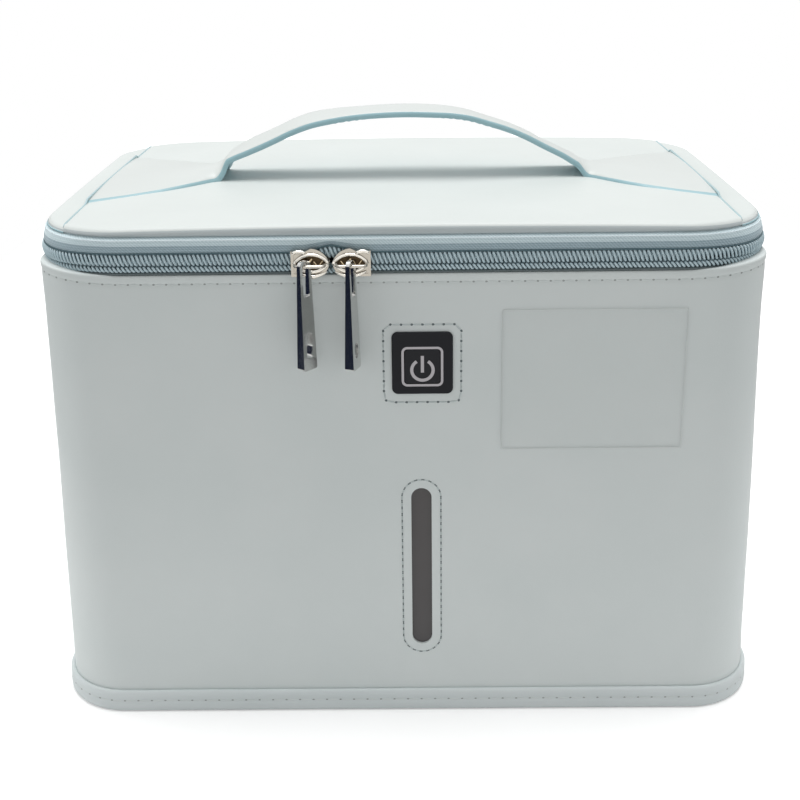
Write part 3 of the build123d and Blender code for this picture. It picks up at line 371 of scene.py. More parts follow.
def cut(obj, outline, front=True):
    """Cut an opening through the wall, from an outline of (x, z) points."""
    side = -1 if front else 1
    places = [(x, HALF_DEPTH + flare(z), z) for x, z in outline]
    verts = [(x, side * (y + depth), z) for depth in (3.0, -14.0) for x, y, z in places]
    cutter = add_mesh("cutter", verts, caps(2, len(outline)) + quads(2, len(outline)))
    face_outwards(cutter.data)
    add_modifier(obj, "BOOLEAN", operation="DIFFERENCE", solver="EXACT", object=cutter)
    graph = bpy.context.evaluated_depsgraph_get()
    baked = bpy.data.meshes.new_from_object(obj.evaluated_get(graph))
    obj.modifiers.clear()
    old, obj.data = obj.data, baked
    bpy.data.meshes.remove(old)
    bpy.data.objects.remove(cutter)


def sweep(
    name, profile, body, material, slot,
    outline=WALL, closed=True, straight=3.0, arc=14, shift=None, mats=None,
):
    """Carry a closed profile of (outward, height) points round an outline.

    shift gives what is added to both at a place. mats is one index per side of the profile.
    """
    rows, length = ring(outline, straight, arc, closed)
    radius = outline[2]
    n, m = len(rows), len(profile)
    around = lengths(np.array(profile, float))
    verts, uvs = [], []
    for i, (cx, cy, nx, ny) in enumerate(rows):
        for j, (out, z) in enumerate(profile):
            more_out = more_z = 0.0
            if shift:
                more_out, more_z = shift(cx + nx * radius, cy + ny * radius, nx, ny, out, z)
            r = radius + out + more_out
            verts.append((cx + nx * r, cy + ny * r, z + more_z))
            uvs.append((length[i] * MM, around[j] * MM))
    faces = quads(n, m, close_rows=closed)
    indices = (mats or [0] * m) * (n if closed else n - 1)
    if not closed:
        faces += caps(n, m)
        indices += [0, 0]
    return piece(name, verts, faces, body, material, slot, uvs, mats=indices)


def disc(name, height, outline, grow, side, body, material, slot):
    """A sheet filling an outline, with its edge at one level. height gives it at a place."""
    rows, _ = ring(outline, 4.0, 12)
    radius = outline[2] + grow
    rings = [d for d in (0.0, 1.5, 4.0, 8.0, 13.0, 19.0, 26.0, 33.0) if d < radius - 1.5]
    shrinks = [0.93, 0.85, 0.76, 0.66, 0.55, 0.43, 0.3, 0.16]
    verts = [(cx + nx * radius, cy + ny * radius, side) for cx, cy, nx, ny in rows]
    for d, t in [(d, 1) for d in rings] + [(rings[-1], t) for t in shrinks]:
        for cx, cy, nx, ny in rows:
            x, y = (cx + nx * (radius - d)) * t, (cy + ny * (radius - d)) * t
            verts.append((x, y, height(x, y)))
    verts.append((0.0, 0.0, height(0, 0)))
    count = 1 + len(rings) + len(shrinks)
    faces = dome(count, len(rows))
    uvs = [(v[0] * MM, v[1] * MM) for v in verts]
    obj = piece(name, verts, faces, body, material, slot, uvs)
    obj.data.set_sharp_from_angle(angle=SHARP)
    return obj


def tube(path, radius, sides=6, closed=False):
    """Points and faces of a round bar along a list of points."""
    path = np.asarray(path, float)
    n = len(path)
    ahead = np.roll(path, -1, 0) - np.roll(path, 1, 0) if closed else np.gradient(path, axis=0)
    tangent = unit(ahead)
    side = np.cross(tangent, (0.0, 0.0, 1.0))
    side[np.linalg.norm(side, axis=1) < 1e-3] = (1.0, 0.0, 0.0)
    side = unit(side)
    top = np.cross(side, tangent)
    radius = np.broadcast_to(np.asarray(radius, float), (n,))
    angles = np.linspace(0, 2 * math.pi, sides, endpoint=False)
    across, up = np.cos(angles)[None, :, None], np.sin(angles)[None, :, None]
    around = across * side[:, None, :] + up * top[:, None, :]
    verts = (path[:, None, :] + around * radius[:, None, None]).reshape(-1, 3)
    return verts, quads(n, sides, close_rows=closed) + ([] if closed else caps(n, sides))


def gather(forms):
    """Points and faces of many small forms as one."""
    verts, faces = [], []
    for points, sides in forms:
        faces += [tuple(len(verts) + i for i in f) for f in sides]
        verts += [tuple(v) for v in points]
    return verts, faces


# Materials


class Nodes:
    """A node tree with short names for the nodes used most."""

    def __init__(self, tree):
        self.tree = tree

    def node(self, kind, **values):
        node = self.tree.nodes.new(kind)
        for key, value in values.items():
            if key in node.inputs:
                node.inputs[key].default_value = value
            else:
                setattr(node, key, value)
        return node

    def feed(self, socket, value):
        """Link an output into a socket, or write a plain value there."""
        if isinstance(value, bpy.types.NodeSocket):
            self.tree.links.new(value, socket)
        else:
            socket.default_value = value

    def math(self, kind, a, b):
        node = self.node("ShaderNodeMath", operation=kind)
        self.feed(node.inputs[0], a)
        self.feed(node.inputs[1], b)
        return node.outputs["Value"]

    def mix(self, fac, a, b):
        node = self.node("ShaderNodeMix", data_type="RGBA")
        for name, value in (("Factor", fac), ("A", a), ("B", b)):
            self.feed(node.inputs[name], value)
        return node.outputs["Result"]

    def ramp(self, fac, *stops):
        node = self.node("ShaderNodeValToRGB")
        elements = node.color_ramp.elements
        while len(elements) < len(stops):
            elements.new(0.5)
        for element, (at, color) in zip(elements, stops):
            element.position = at
            element.color = (*color, 1)
        self.feed(node.inputs["Fac"], fac)
        return node.outputs["Color"]


class Mat(Nodes):
    """A node material round the principled shader."""

    def __init__(self, name, color, rough, metal=0.0, **inputs):
        self.m = bpy.data.materials.new(name)
        self.m.use_nodes = True
        super().__init__(self.m.node_tree)
        self.m.diffuse_color = (*color, 1)
        inputs.update(Base_Color=(*color, 1), Roughness=rough, Metallic=metal)
        for key, value in inputs.items():
            self.set(key.replace("_", " "), value)

    def coords(self, uv=False, scale=(1, 1, 1)):
        source = self.node("ShaderNodeTexCoord")
        mapping = self.node("ShaderNodeMapping", Scale=scale)
        self.feed(mapping.inputs["Vector"], source.outputs["UV" if uv else "Object"])
        return mapping.outputs["Vector"]

    def noise(self, scale, detail=2.0, rough=0.5, vector=None):
        node = self.node("ShaderNodeTexNoise", Scale=scale, Detail=detail, Roughness=rough)
        self.feed(node.inputs["Vector"], vector or self.coords())
        return node.outputs["Fac"]

    def cells(self, scale):
        node = self.node("ShaderNodeTexVoronoi", Scale=scale)
        self.feed(node.inputs["Vector"], self.coords())
        return node.outputs["Distance"]

    def wave(self, vector, **values):
        node = self.node("ShaderNodeTexWave", **values)
        self.feed(node.inputs["Vector"], vector)
        return node.outputs["Fac"]

    def span(self, fac, low, high):
        node = self.node("ShaderNodeMapRange", **{"To Min": low, "To Max": high})
        self.feed(node.inputs["Value"], fac)
        return node.outputs["Result"]

    def bump(self, height, strength, distance, normal=None):
        node = self.node("ShaderNodeBump", Strength=strength, Distance=distance)
        self.feed(node.inputs["Height"], height)
        if normal is not None:
            self.feed(node.inputs["Normal"], normal)
        return node.outputs["Normal"]

    def set(self, name, value):
        self.feed(self.tree.nodes["Principled BSDF"].inputs[name], value)


def leather(name, light, dark, grain=0.16, rough=(0.42, 0.54)):
    """Coated leather: pebbles under a millimetre, fine pores, slow changes of tone."""
    m = Mat(name, light, 0.48)
    m.set("Base Color", m.ramp(m.noise(22.0, 3.0), (0.32, dark), (0.68, light)))
    m.set("Roughness", m.span(m.noise(160.0, 3.0), *rough))
    normal = m.bump(m.cells(1050.0), grain, 0.00012)
    normal = m.bump(m.noise(2600.0, 3.0, 0.6), grain * 0.8, 0.00006, normal)
    m.set("Normal", m.bump(m.noise(38.0, 2.0), 0.2, 0.0004, normal))
    return m.m


def woven(name, light, dark, warp):
    """A ribbed tape: a fine twill in the tape's own directions, with pale flecks."""
    m = Mat(name, light, 0.72, Sheen_Weight=0.25, Sheen_Roughness=0.45)
    uv = m.coords(uv=True)
    along = m.wave(uv, Scale=warp / 6.5, Distortion=0.6, bands_direction="DIAGONAL")
    across = m.wave(uv, Scale=warp / 9.0, Distortion=0.4, bands_direction="Y")
    weave = m.math("ADD", m.math("MULTIPLY", along, 0.6), m.math("MULTIPLY", across, 0.4))
    fleck = m.noise(1500.0, 2.0, 0.6)
    mixed = m.math("ADD", m.math("MULTIPLY", weave, 0.5), m.math("MULTIPLY", fleck, 0.5))
    m.set("Base Color", m.ramp(mixed, (0.3, dark), (0.72, light)))
    m.set("Normal", m.bump(mixed, 0.5, 0.00018))
    return m.m


def plastic(name, color, rough=0.35, spots=900.0, strength=0.06, **inputs):
    """Moulded plastic with a fine spark texture."""
    m = Mat(name, color, rough, **inputs)
    m.set("Normal", m.bump(m.noise(spots, 2.0), strength, 0.00005))
    m.set("Roughness", m.span(m.noise(60.0, 2.0), rough * 0.85, rough * 1.15))
    return m.m


def metal(name, color, rough, wear, streak=(1, 1, 1)):
    """Plated or brushed metal with light wear."""
    m = Mat(name, color, rough, 1.0)
    scratches = m.noise(420.0, 3.0, 0.6, m.coords(scale=streak))
    m.set("Roughness", m.span(scratches, max(0.02, rough - wear), rough + wear))
    m.set("Normal", m.bump(m.noise(300.0, 2.0, 0.5, m.coords(scale=streak)), 0.05, 0.00004))
    return m.m


def uneven(name, color, rough, scale, strength, distance, detail=2.0, **inputs):
    """A plain surface that is a little uneven."""
    m = Mat(name, color, rough, **inputs)
    m.set("Normal", m.bump(m.noise(scale, detail), strength, distance))
    return m.m


def foam():
    m = Mat("foam", (0.62, 0.65, 0.65), 0.9)
    m.set("Normal", m.bump(m.cells(700.0), 0.6, 0.0004))
    return m.m


def foil():
    m = Mat("reflective_film", (0.78, 0.80, 0.82), 0.28, 0.85)
    m.set("Roughness", m.span(m.noise(90.0, 4.0), 0.18, 0.4))
    m.set("Normal", m.bump(m.noise(140.0, 5.0, 0.6), 0.35, 0.0012))
    return m.m


# Leather, light and dark tone, grain and roughness
SKIN = leather("leather_body", (0.665, 0.71, 0.705), (0.64, 0.69, 0.685))
TOP_SKIN = leather("leather_lid", (0.66, 0.70, 0.685), (0.64, 0.68, 0.665), 0.12)
# A darker copy of the lid leather: painted shade on the lower part of the rolled edge
LID_ROLL_PAINTED_SHADE = leather("leather_lid_roll_painted_shade", (0.51, 0.56, 0.57), (0.47, 0.525, 0.535), 0.12)
FOOT = leather("leather_foot", (0.65, 0.70, 0.705), (0.625, 0.68, 0.685), 0.14)
HANDLE_SKIN = leather(
    "leather_handle", (0.64, 0.675, 0.66), (0.62, 0.655, 0.64), 0.1, (0.36, 0.46)
)
HANDLE_UNDER = leather(
    "leather_under", (0.34, 0.53, 0.585), (0.31, 0.49, 0.545), 0.1, (0.4, 0.5)
)
EDGE = leather("leather_edge", (0.33, 0.52, 0.565), (0.29, 0.47, 0.52), 0.1, (0.35, 0.45))
SEAM_EDGE = leather("leather_seam", (0.42, 0.56, 0.59), (0.37, 0.51, 0.54), 0.1, (0.38, 0.48))

# Thread and tape
THREAD = uneven("thread", (0.50, 0.56, 0.56), 0.6, 3200.0, 0.4, 0.0001, 1.0, Sheen_Weight=0.2)
THREAD_PALE = leather("thread_pale", (0.66, 0.705, 0.70), (0.62, 0.67, 0.665), 0.1)
# Near black: painted shade in stitch holes, and the painted shadow line under the lower teeth
PAINTED_SHADE_DARK = uneven("painted_shade_dark", (0.13, 0.16, 0.165), 0.9, 1800.0, 0.2, 0.0001)
# A darker copy of the leather: painted shade in the dimples of the lying stitches
STITCH_HOLE_PAINTED_SHADE = leather("stitch_hole_painted_shade", (0.36, 0.39, 0.38), (0.31, 0.34, 0.33), 0.1)
TAPE = woven("zip_tape", (0.40, 0.51, 0.56), (0.25, 0.345, 0.39), 2900.0)
# A paler copy of the tape: painted highlight for the top of the band's bulge
TAPE_PAINTED_HIGHLIGHT = woven("zip_tape_painted_highlight", (0.68, 0.80, 0.84), (0.50, 0.63, 0.67), 2900.0)
# A darker copy of the tape: painted shade for the strip under the lower teeth
TAPE_PAINTED_SHADE = woven("zip_tape_painted_shade", (0.27, 0.37, 0.41), (0.14, 0.20, 0.225), 1500.0)
# A very pale thread: partly the band's thread, partly a painted highlight on its top
BAND_THREAD_HIGHLIGHT = leather("thread_band_painted_highlight", (0.76, 0.86, 0.89), (0.70, 0.81, 0.85), 0.2)
# Dark teal: painted shadow line at the foot of the band, over the upper teeth
TEAL_PAINTED_SHADOW = leather("cord_teal_painted_shadow", (0.10, 0.18, 0.21), (0.07, 0.13, 0.155), 0.2)
COIL = plastic("zip_coil", (0.52, 0.65, 0.70), 0.32, 2000.0, 0.1)

# Metal
CHROME = metal("chrome", (0.86, 0.83, 0.77), 0.12, 0.04)
PULL = metal("pull_plate", (0.66, 0.66, 0.65), 0.14, 0.05, (1, 1, 0.15))
CAST = metal("slider_cast", (0.55, 0.52, 0.47), 0.24, 0.08)
# Near-black metal: painted shade in the recess of the sliders' faces
HOLLOW_PAINTED_SHADE = metal("slider_recess", (0.07, 0.05, 0.03), 0.34, 0.1)
GILT = metal("slider_gilt", (0.62, 0.50, 0.33), 0.16, 0.04)
SILVER = metal("silver_trim", (0.36, 0.355, 0.385), 0.3, 0.05)
STEEL = metal("steel", (0.55, 0.56, 0.57), 0.3, 0.08)
FOIL = foil()

# Plastic, foam and board
BLACK = plastic("black_gloss", (0.012, 0.013, 0.017), 0.3, Specular_IOR_Level=0.16)
BLACK_CAP = plastic("black_cap", (0.013, 0.014, 0.018), 0.36, Specular_IOR_Level=0.2)
WINDOW = plastic("window_sheet", (0.075, 0.07, 0.071), 0.42, 500.0, 0.12)
BOARD = plastic("circuit_board", (0.03, 0.17, 0.08), 0.45)
WHITE = plastic("white_plastic", (0.72, 0.74, 0.74), 0.35)
RUBBER = plastic("lead_sheath", (0.55, 0.57, 0.57), 0.6)
STIFF = plastic("stiff_board", (0.45, 0.44, 0.42), 0.8, 300.0, 0.2)
FILM_EDGE = plastic("film_edge", (0.62, 0.65, 0.645), 0.3)
FOAM = foam()
FILM = uneven("clear_film", (0.80, 0.83, 0.82), 0.2, 45.0, 0.12, 0.0006, Alpha=0.05, IOR=1.45)
LENS = uneven(
    "lamp_lens", (0.95, 0.97, 1.0), 0.12, 200.0, 0.04, 0.0002, Transmission_Weight=0.9, IOR=1.46
)
LAMP = uneven("lamp_package", (0.75, 0.74, 0.6), 0.2, 1500.0, 0.1, 0.0001, Coat_Weight=0.5)


def paint(node, material, bevel):
    """Give a CAD node its finish, and soft edges where it shows."""
    obj = frame["nodes"][node]
    obj.data.materials.clear()
    obj.data.materials.append(material)
    if bevel:
        edges = {"limit_method": "ANGLE", "angle_limit": math.radians(35)}
        add_modifier(obj, "BEVEL", width=bevel * MM, segments=2, **edges)


# Body: skin, foot, liner


def away(x, z, place, width, height):
    """0 inside a rectangle on the wall, rising to 1 a little way outside it."""
    dx, dz = abs(x - place[0]) - width / 2, abs(z - place[1]) - height / 2
    return smooth(0.0, 6.0, math.hypot(max(0.0, dx), max(0.0, dz)))


def body_wave(x, y, nx, ny, out, z):
    """Shape of the soft walls: the ledge inside the hem, its rise at the corners, slow hollows.

    The hollows are kept off the window, the button, the film, the inlet and the seams.
    """
    rise = hem_rise(x, y, z)
    if z > 198.7 and out < -0.43:
        gap = WALL[2] - reach(LID, WALL[2], x - nx * WALL[2], y - ny * WALL[2], nx, ny)
        return -max(0.0, gap - 0.3), rise - 0.35 * smooth(0.0, 4.0, gap)
    if out < flare(z) - 0.05:
        return 0.0, rise
    under_film = 0.0
    keep = smooth(9.0, 30.0, z) * (1 - smooth(178.0, 194.0, z))
    if ny < -0.5:
        keep *= away(x, z, SLIT, 17, 84) * away(x, z, PLATE, 33, 36)
        film = away(x, z, FILM_BOX, 77, 63)
        keep *= film
        under_film = 0.14 * (1 - film)
    if ny > 0.5:
        keep *= away(x, z, INLET, 17, 17)
    slow = noise.noise(Vector((x * 0.017 + 3.1, y * 0.017, z * 0.012)))
    quick = noise.noise(Vector((x * 0.05, y * 0.05 + 7.7, z * 0.032)))
    return -keep * (0.28 + 0.45 * slow + 0.14 * quick) - under_film, rise


def body_skin():
    """The wrap: leaning walls, a rolled hem with its crease, and the openings cut through."""
    inner = [(flare(z) - 1.2, z) for z in (197.5, 160.0, 110.0, 60.0, 1.2)]
    levels = np.concatenate([np.linspace(1.2, 190.0, 52), [192.5, 194.0]])
    crease = ((194.9, -0.04), (195.5, -0.18), (195.95, -0.24), (196.4, -0.14))
    crease += ((196.9, 0.08), (197.5, 0.24))
    outer = [(flare(z), z) for z in levels] + [(flare(z) + lift, z) for z, lift in crease]
    turns = [math.radians(degrees) for degrees in range(0, 181, 20)]
    roll = [(-0.42 + 0.82 * math.cos(a), 198.72 + 1.08 * math.sin(a)) for a in turns]
    profile = inner + outer + roll
    obj = sweep("body_skin", profile, "case", SKIN, "leather", arc=18, shift=body_wave)
    cut(obj, rounded(*SLIT, 8.6, 74.3, 4.29, 12))
    cut(obj, rounded(*PLATE, 24.9, 26.6, 2.5))
    cut(obj, rounded(*INLET, 10.8, 10.8, 5.39, 10), front=False)
    obj.data.set_sharp_from_angle(angle=SHARP)
    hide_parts("body_leather")


def foot():
    """The folded strip round the foot, and the leather panel the case stands on."""
    low = ((-0.05, 0.0), (0.9, 0.0), (1.55, 0.25), (1.93, 0.85), (2.0, 1.6), (2.02, 3.4))
    side = ((2.0, 4.6), (1.78, 5.35), (1.98, 6.1), (2.0, 7.6), (1.92, 8.9), (1.6, 9.65))
    top = ((1.1, 9.98), (0.5, 10.0), (-0.05, 9.7))
    band = [(flare(0) + d, z) for d, z in low]
    band += [(flare(z) + d, z) for d, z in side]
    band += [(flare(10) + d, z) for d, z in top]
    obj = sweep("foot_band", band, "case", FOOT, "leather", straight=4.0, arc=16)
    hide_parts("base_band")

    def level(x, y):
        return 0.02

    panel = disc("foot_panel", level, WALL, flare(0) - 0.1, 1.15, "case", FOOT, "leather")
    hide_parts("base_panel")


def crinkle(x, y, z):
    """Small sharp creases of a foil."""
    p = Vector((x * 0.11, y * 0.11, z * 0.11))
    ridge = abs(noise.noise(p)) + 0.5 * abs(noise.noise(p * 2.3 + Vector((5, 1, 9))))
    return 0.22 * (1 - 2.2 * ridge)


def liners():
    """The reflective sheets: a cup in the body and a flat one under the lid's board."""
    material, slot = FOIL, "reflective_sheet"

    def creased(x, y, nx, ny, out, z):
        if out < flare(z) - 4.5 and 8 < z < 190:
            return 0.35 * crinkle(x, y, z), 0.0
        return 0.0, 0.0

    def floor_z(x, y):
        return LINER_FLOOR_Z + 0.35 * crinkle(x, y, 0.0)

    def under(x, y):
        return LINER_LID_Z - 0.12 + 0.4 * crinkle(x, y, 3.0)

    profile = [(flare(z) - 4.78, z) for z in np.linspace(196.0, 4.9, 42)]
    profile += [(flare(z) - 4.22, z) for z in (4.3, 60, 130, 196.0)]
    cup = sweep(
        "foil_walls", profile, "case", material, slot, straight=5.0, arc=10, shift=creased
    )
    cut(cup, rounded(*SLIT, 12.6, 78.3, 6.29, 12))
    cut(cup, rounded(*BOX, 56, 42, 3))
    cut(cup, rounded(*INLET, 10.8, 10.8, 5.39, 10), front=False)
    cup.data.set_sharp_from_angle(angle=SHARP)
    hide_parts("body_liner")
    grow = flare(LINER_FLOOR_Z) - 4.8
    disc("foil_floor", floor_z, WALL, grow, 4.3, "case", material, slot)
    sheet = disc("foil_lid", under, LID, -1.85, 212.35, "lid", material, slot)
    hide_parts("lid_liner")


# Zip


def zip_parts():
    """Tapes, coils, two dark cords along the teeth that are painted shadow lines, and the pale
    thread that holds the band.
    """
    lower_tape()
    upper_band()
    coil("teeth_lower", "case", "zip_coil_lower", middle=202.2, half=1.3, phase=0.5, spread=-1.1)
    coil("teeth_upper", "lid", "zip_coil_upper", middle=205.95, half=2.45, phase=0.0, spread=2.7)
    # A near-black cord under the lower teeth: a painted shadow line
    cord("coil_painted_shadow_lower", "case", PAINTED_SHADE_DARK, out=0.1, z=200.45, radius=0.42, spread=-0.6)
    # A dark teal cord at the band's foot: a painted shadow line
    cord("coil_painted_shadow_upper", "lid", TEAL_PAINTED_SHADOW, out=-0.35, z=208.6, radius=0.36, spread=2.9)
    band_thread()


def lower_tape():
    """From inside the hem over the ledge and up behind the lower teeth, in a darker copy of the
    tape, a painted shade.
    """
    rows, length = ring(LID, 3.0, 12, closed=False)
    verts, uvs = [], []
    for (cx, cy, nx, ny), s in zip(rows, length):
        wall, lid = reach(WALL, LID[2], cx, cy, nx, ny), LID[2]
        out, foot_out = bulge(nx, ny, 203.6), flare(TAPE_FOOT_Z)
        section = [(wall - 1.2 + foot_out, TAPE_FOOT_Z), (wall - 1.2, 199.65)]
        section += [(lid - 1.2, 199.8), (lid - 1.2 + out, 203.6), (lid - 1.5 + out, 204.0)]
        section += [(lid - 1.8 + out, 203.6), (lid - 1.8, 199.2), (wall - 1.8, 199.1)]
        section += [(wall - 1.8 + foot_out, TAPE_FOOT_Z)]
        for k, (r, z) in enumerate(section):
            verts.append((cx + nx * r, cy + ny * r, z))
            uvs.append((s * MM, k * 3 * MM))
    n, m = len(rows), len(section)
    faces = quads(n, m) + caps(n, m)
    obj = piece("tape_lower", verts, faces, "case", TAPE_PAINTED_SHADE, "zip_fabric", uvs, shaded=False)
    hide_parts("zip_tape_lower")


def upper_band():
    """The padded band over the upper teeth, arched where the rows part, with a painted highlight
    on its upper bulge.
    """

    def lift(x, y, nx, ny, out, z):
        return bulge(nx, ny, z), 2.9 * arch(x, y) * smooth(214.8, 209.0, z)

    band = [(-1.2, 205.2), (-1.2, 208.3), (-0.9, 208.75), (-0.25, 209.0), (0.05, 209.7)]
    band += [(0.24, 210.8), (0.42, 211.9), (0.6, 212.8), (0.72, 213.5), (0.66, 214.1)]
    band += [(0.36, 214.6), (-0.1, 214.95), (-0.7, 215.2), (-1.25, 215.6), (-1.25, 216.9)]
    band += [(-1.8, 216.9), (-1.8, 205.2)]
    # The sides round the band's upper bulge take the paler tape, a painted highlight
    painted_highlight_sides = [1 if 6 <= j <= 12 else 0 for j in range(len(band))]
    cloth = [TAPE, TAPE_PAINTED_HIGHLIGHT]
    obj = sweep(
        "band_upper", band, "lid", cloth, "zip_fabric",
        LID, closed=False, straight=1.5, shift=lift, mats=painted_highlight_sides,
    )
    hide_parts("zip_tape_upper")


def zip_line(rows, out, z, bulge_z, spread=0.0):
    """A line beside the lid's outline that follows the zip's bulge, spread where the rows part."""
    out = out + np.array([bulge(nx, ny, bulge_z) for nx, ny in rows[:, 2:]])
    path = outward(rows, LID[2] + out, z)
    path[:, 2] += [spread * arch(x, y) for x, y, _ in path]
    return path


def coil(name, body, node, middle, half, phase, spread):
    """One row of teeth: a strand wound round, leaning as it crosses the front."""
    rows, length = ring(LID, 3.0, 24, closed=False)
    per = 12
    steps = np.arange((int(length[-1] / COIL_PITCH) - 1) * per) / per
    a = steps * 2 * math.pi
    up = (half - COIL_WIRE) * np.sin(a)
    out = -0.25 + (1.05 - COIL_WIRE) * np.cos(a)
    s = 0.8 + (steps + phase) * COIL_PITCH - COIL_SLANT * up / half
    row = along_hem(rows, length, np.clip(s, 0, length[-1]))
    path = zip_line(row, out, middle - up, middle, spread)
    obj = piece(name, *tube(path, COIL_WIRE), body, COIL, "zip_nylon")
    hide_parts(node)


def cord(name, body, material, out, z, radius, spread):
    """A thin dark cord lying along the zip: a painted shadow line beside a row of teeth."""
    rows, _ = ring(LID, 3.0, 16, closed=False)
    path = zip_line(rows, out, z, z, spread)
    piece(name, *tube(path, radius), body, material, "zip_fabric")


def band_thread():
    """The overcast thread that holds the band under the lid's edge, coloured paler than thread:
    partly real thread, partly a painted highlight on the band's top.
    """
    rows, length = ring(LID, 3.0, 24, closed=False)
    s = np.arange(0.6, length[-1] - 0.6, 0.42)
    wave = np.abs(np.sin(math.pi * s / 1.7))
    row = along_hem(rows, length, s)
    path = zip_line(row, 0.36 + 0.1 * wave, 214.3 - 0.28 * wave, 214.2)
    piece("band_thread", *tube(path, 0.34, 5), "lid", BAND_THREAD_HIGHLIGHT, "zip_fabric")


# Seams


def stitch(a, b, normal, radius, sink):
    """One thread from a to b, lying along a surface with its ends going in."""
    t = np.linspace(0, 1, 6)
    height = np.array([-0.9, 0.1, 0.62, 0.62, 0.1, -0.9]) * radius - sink
    path = a[None] + (b - a)[None] * t[:, None] + normal[None] * height[:, None]
    return tube(path, radius)


def seam(name, path, normal, pitch, share, radius, thread, hole, painted_hole_shade, sink=0.1, single=False):
    """Stitches along a path of points. normal is a vector, or one for each point.

    Each thread has a hole at its ends, or a single one at its start: a flat dark disc, a painted
    shade, in the material given after hole.
    """
    path = np.asarray(path, float)
    normals = np.broadcast_to(np.asarray(normal, float), path.shape)
    at = lengths(path)
    count = int(at[-1] / pitch)
    step = at[-1] / count

    def where(s):
        p = np.array([np.interp(s, at, path[:, k]) for k in range(3)])
        n = np.array([np.interp(s, at, normals[:, k]) for k in range(3)])
        return p, n / np.linalg.norm(n)

    threads, painted_hole_shades = [], []
    for i in range(count):
        s = i * step + step * (1 - share) / 2
        (a, n), (b, _) = where(s), where(s + step * share)
        threads.append(stitch(a, b, n, radius, sink))
        for end, other in ((a, b),) if single else ((a, b), (b, a)):
            t = (end - other) / np.linalg.norm(end - other)
            across = np.cross(n, t)
            rim = [
                end + 0.12 * t + n * 0.035 + hole * (1.3 * math.cos(q) * t + math.sin(q) * across)
                for q in np.linspace(0, 2 * math.pi, 8, endpoint=False)
            ]
            # Each hole is a flat dark disc, a painted shade
            painted_hole_shades.append((rim, [tuple(range(8))]))
    piece(name, *gather(threads), "case", thread, "leather")
    piece(name + "_holes", *gather(painted_hole_shades), "case", painted_hole_shade, "leather", shaded=False)


def seams():
    lying = {"thread": THREAD_PALE, "hole": 0.4, "painted_hole_shade": STITCH_HOLE_PAINTED_SHADE, "sink": 0.16, "single": True}
    path, normals = outline_path(WALL, HEM_SEAM_Z, flare(HEM_SEAM_Z) - 0.2)
    path[:, 2] += [hem_rise(x, y, z) for x, y, z in path]
    seam("hem_stitches", path, normals, 5.1, 0.86, 0.24, **lying)
    path, normals = outline_path(WALL, FOOT_SEAM_Z, flare(FOOT_SEAM_Z) + 1.84)
    seam("foot_stitches", path, normals, 5.95, 0.86, 0.26, **lying)
    window = wall_path(rounded(*SLIT, 16.4, 82.0, 8.19, 14))
    seam("window_stitches", window, FRONT, 3.0, 0.66, 0.3, THREAD, 0.34, PAINTED_SHADE_DARK)
    square = wall_path(rounded(PLATE[0], PLATE[1] - 0.4, 31.6, 33.4, 3.0, 4))
    seam(
        "button_stitches", square, FRONT, 4.2, 0.86, 0.3, THREAD, 0.5, PAINTED_SHADE_DARK, single=True
    )


# Lid: skin, sides, edge lines


def lid_shell(name, drop, grow, keep):
    """The domed top with its rolled edge, cut at the side seams. The tucked lip and the lower part
    of the roll take a darker copy of the leather, a painted shade.

    keep is -1, 0 or 1 for the left, the middle or the right part.
    """
    rows, _ = ring(LID, 2.6, 18)
    lip = ((1.25, 216.8), (1.2, 215.6), (0.75, 215.42), (0.4, 215.6), (0.12, 216.2))
    turns = np.linspace(0, math.pi / 2, 9)
    # Each ring: how far in from the edge, its scale about the middle, and its level
    steps = [(d, 1, "low", z) for d, z in lip]
    steps += [(ROLL * (1 - math.cos(a)), 1, "roll", ROLL * math.sin(a)) for a in turns]
    steps += [(d, 1, "top", 0) for d in (3.4, 4.4, 6.0, 9.0, 13.0, 18.0, 24.0, 30.0, 34.5)]
    scales = (0.94, 0.87, 0.79, 0.7, 0.6, 0.5, 0.4, 0.3, 0.2, 0.1)
    steps += [(34.5 + grow, t, "top", 0) for t in scales]
    verts = []
    for d, t, kind, z in steps:
        r = LID[2] + grow - d
        for cx, cy, nx, ny in rows:
            x, y = (cx + nx * r) * t, (cy + ny * r) * t
            if kind == "low":
                level = z
            elif kind == "roll":
                level = lid_z(x, y) - drop - ROLL + z
            else:
                level = lid_z(x, y) - drop + sag(x, y)
            verts.append((x, y, level))
    verts.append((0.0, 0.0, lid_z(0, 0) - drop))
    uvs = [(x * MM, y * MM) for x, y, _ in verts]
    m, n = len(rows), len(steps)
    # The lip and the lower part of the roll get the darker leather, a painted shade
    painted_shade_rings = 8
    mats = [1] * (painted_shade_rings * m) + [0] * ((n - painted_shade_rings) * m)
    faces = dome(n, m)
    obj = piece(name, verts, faces, "lid", [TOP_SKIN, LID_ROLL_PAINTED_SHADE], "leather", uvs, mats=mats)
    bm = bmesh.new()
    bm.from_mesh(obj.data)
    planes = {-1: [(-SEAM_X, 1)], 0: [(SEAM_X, 1), (-SEAM_X, -1)], 1: [(SEAM_X, -1)]}[keep]
    for x, side in planes:
        geometry = bm.verts[:] + bm.edges[:] + bm.faces[:]
        plane = {"plane_co": (x * MM, 0, 0), "plane_no": (side, 0, 0)}
        bmesh.ops.bisect_plane(bm, geom=geometry, clear_outer=True, clear_inner=False, **plane)
    bm.to_mesh(obj.data)
    bm.free()
    return obj


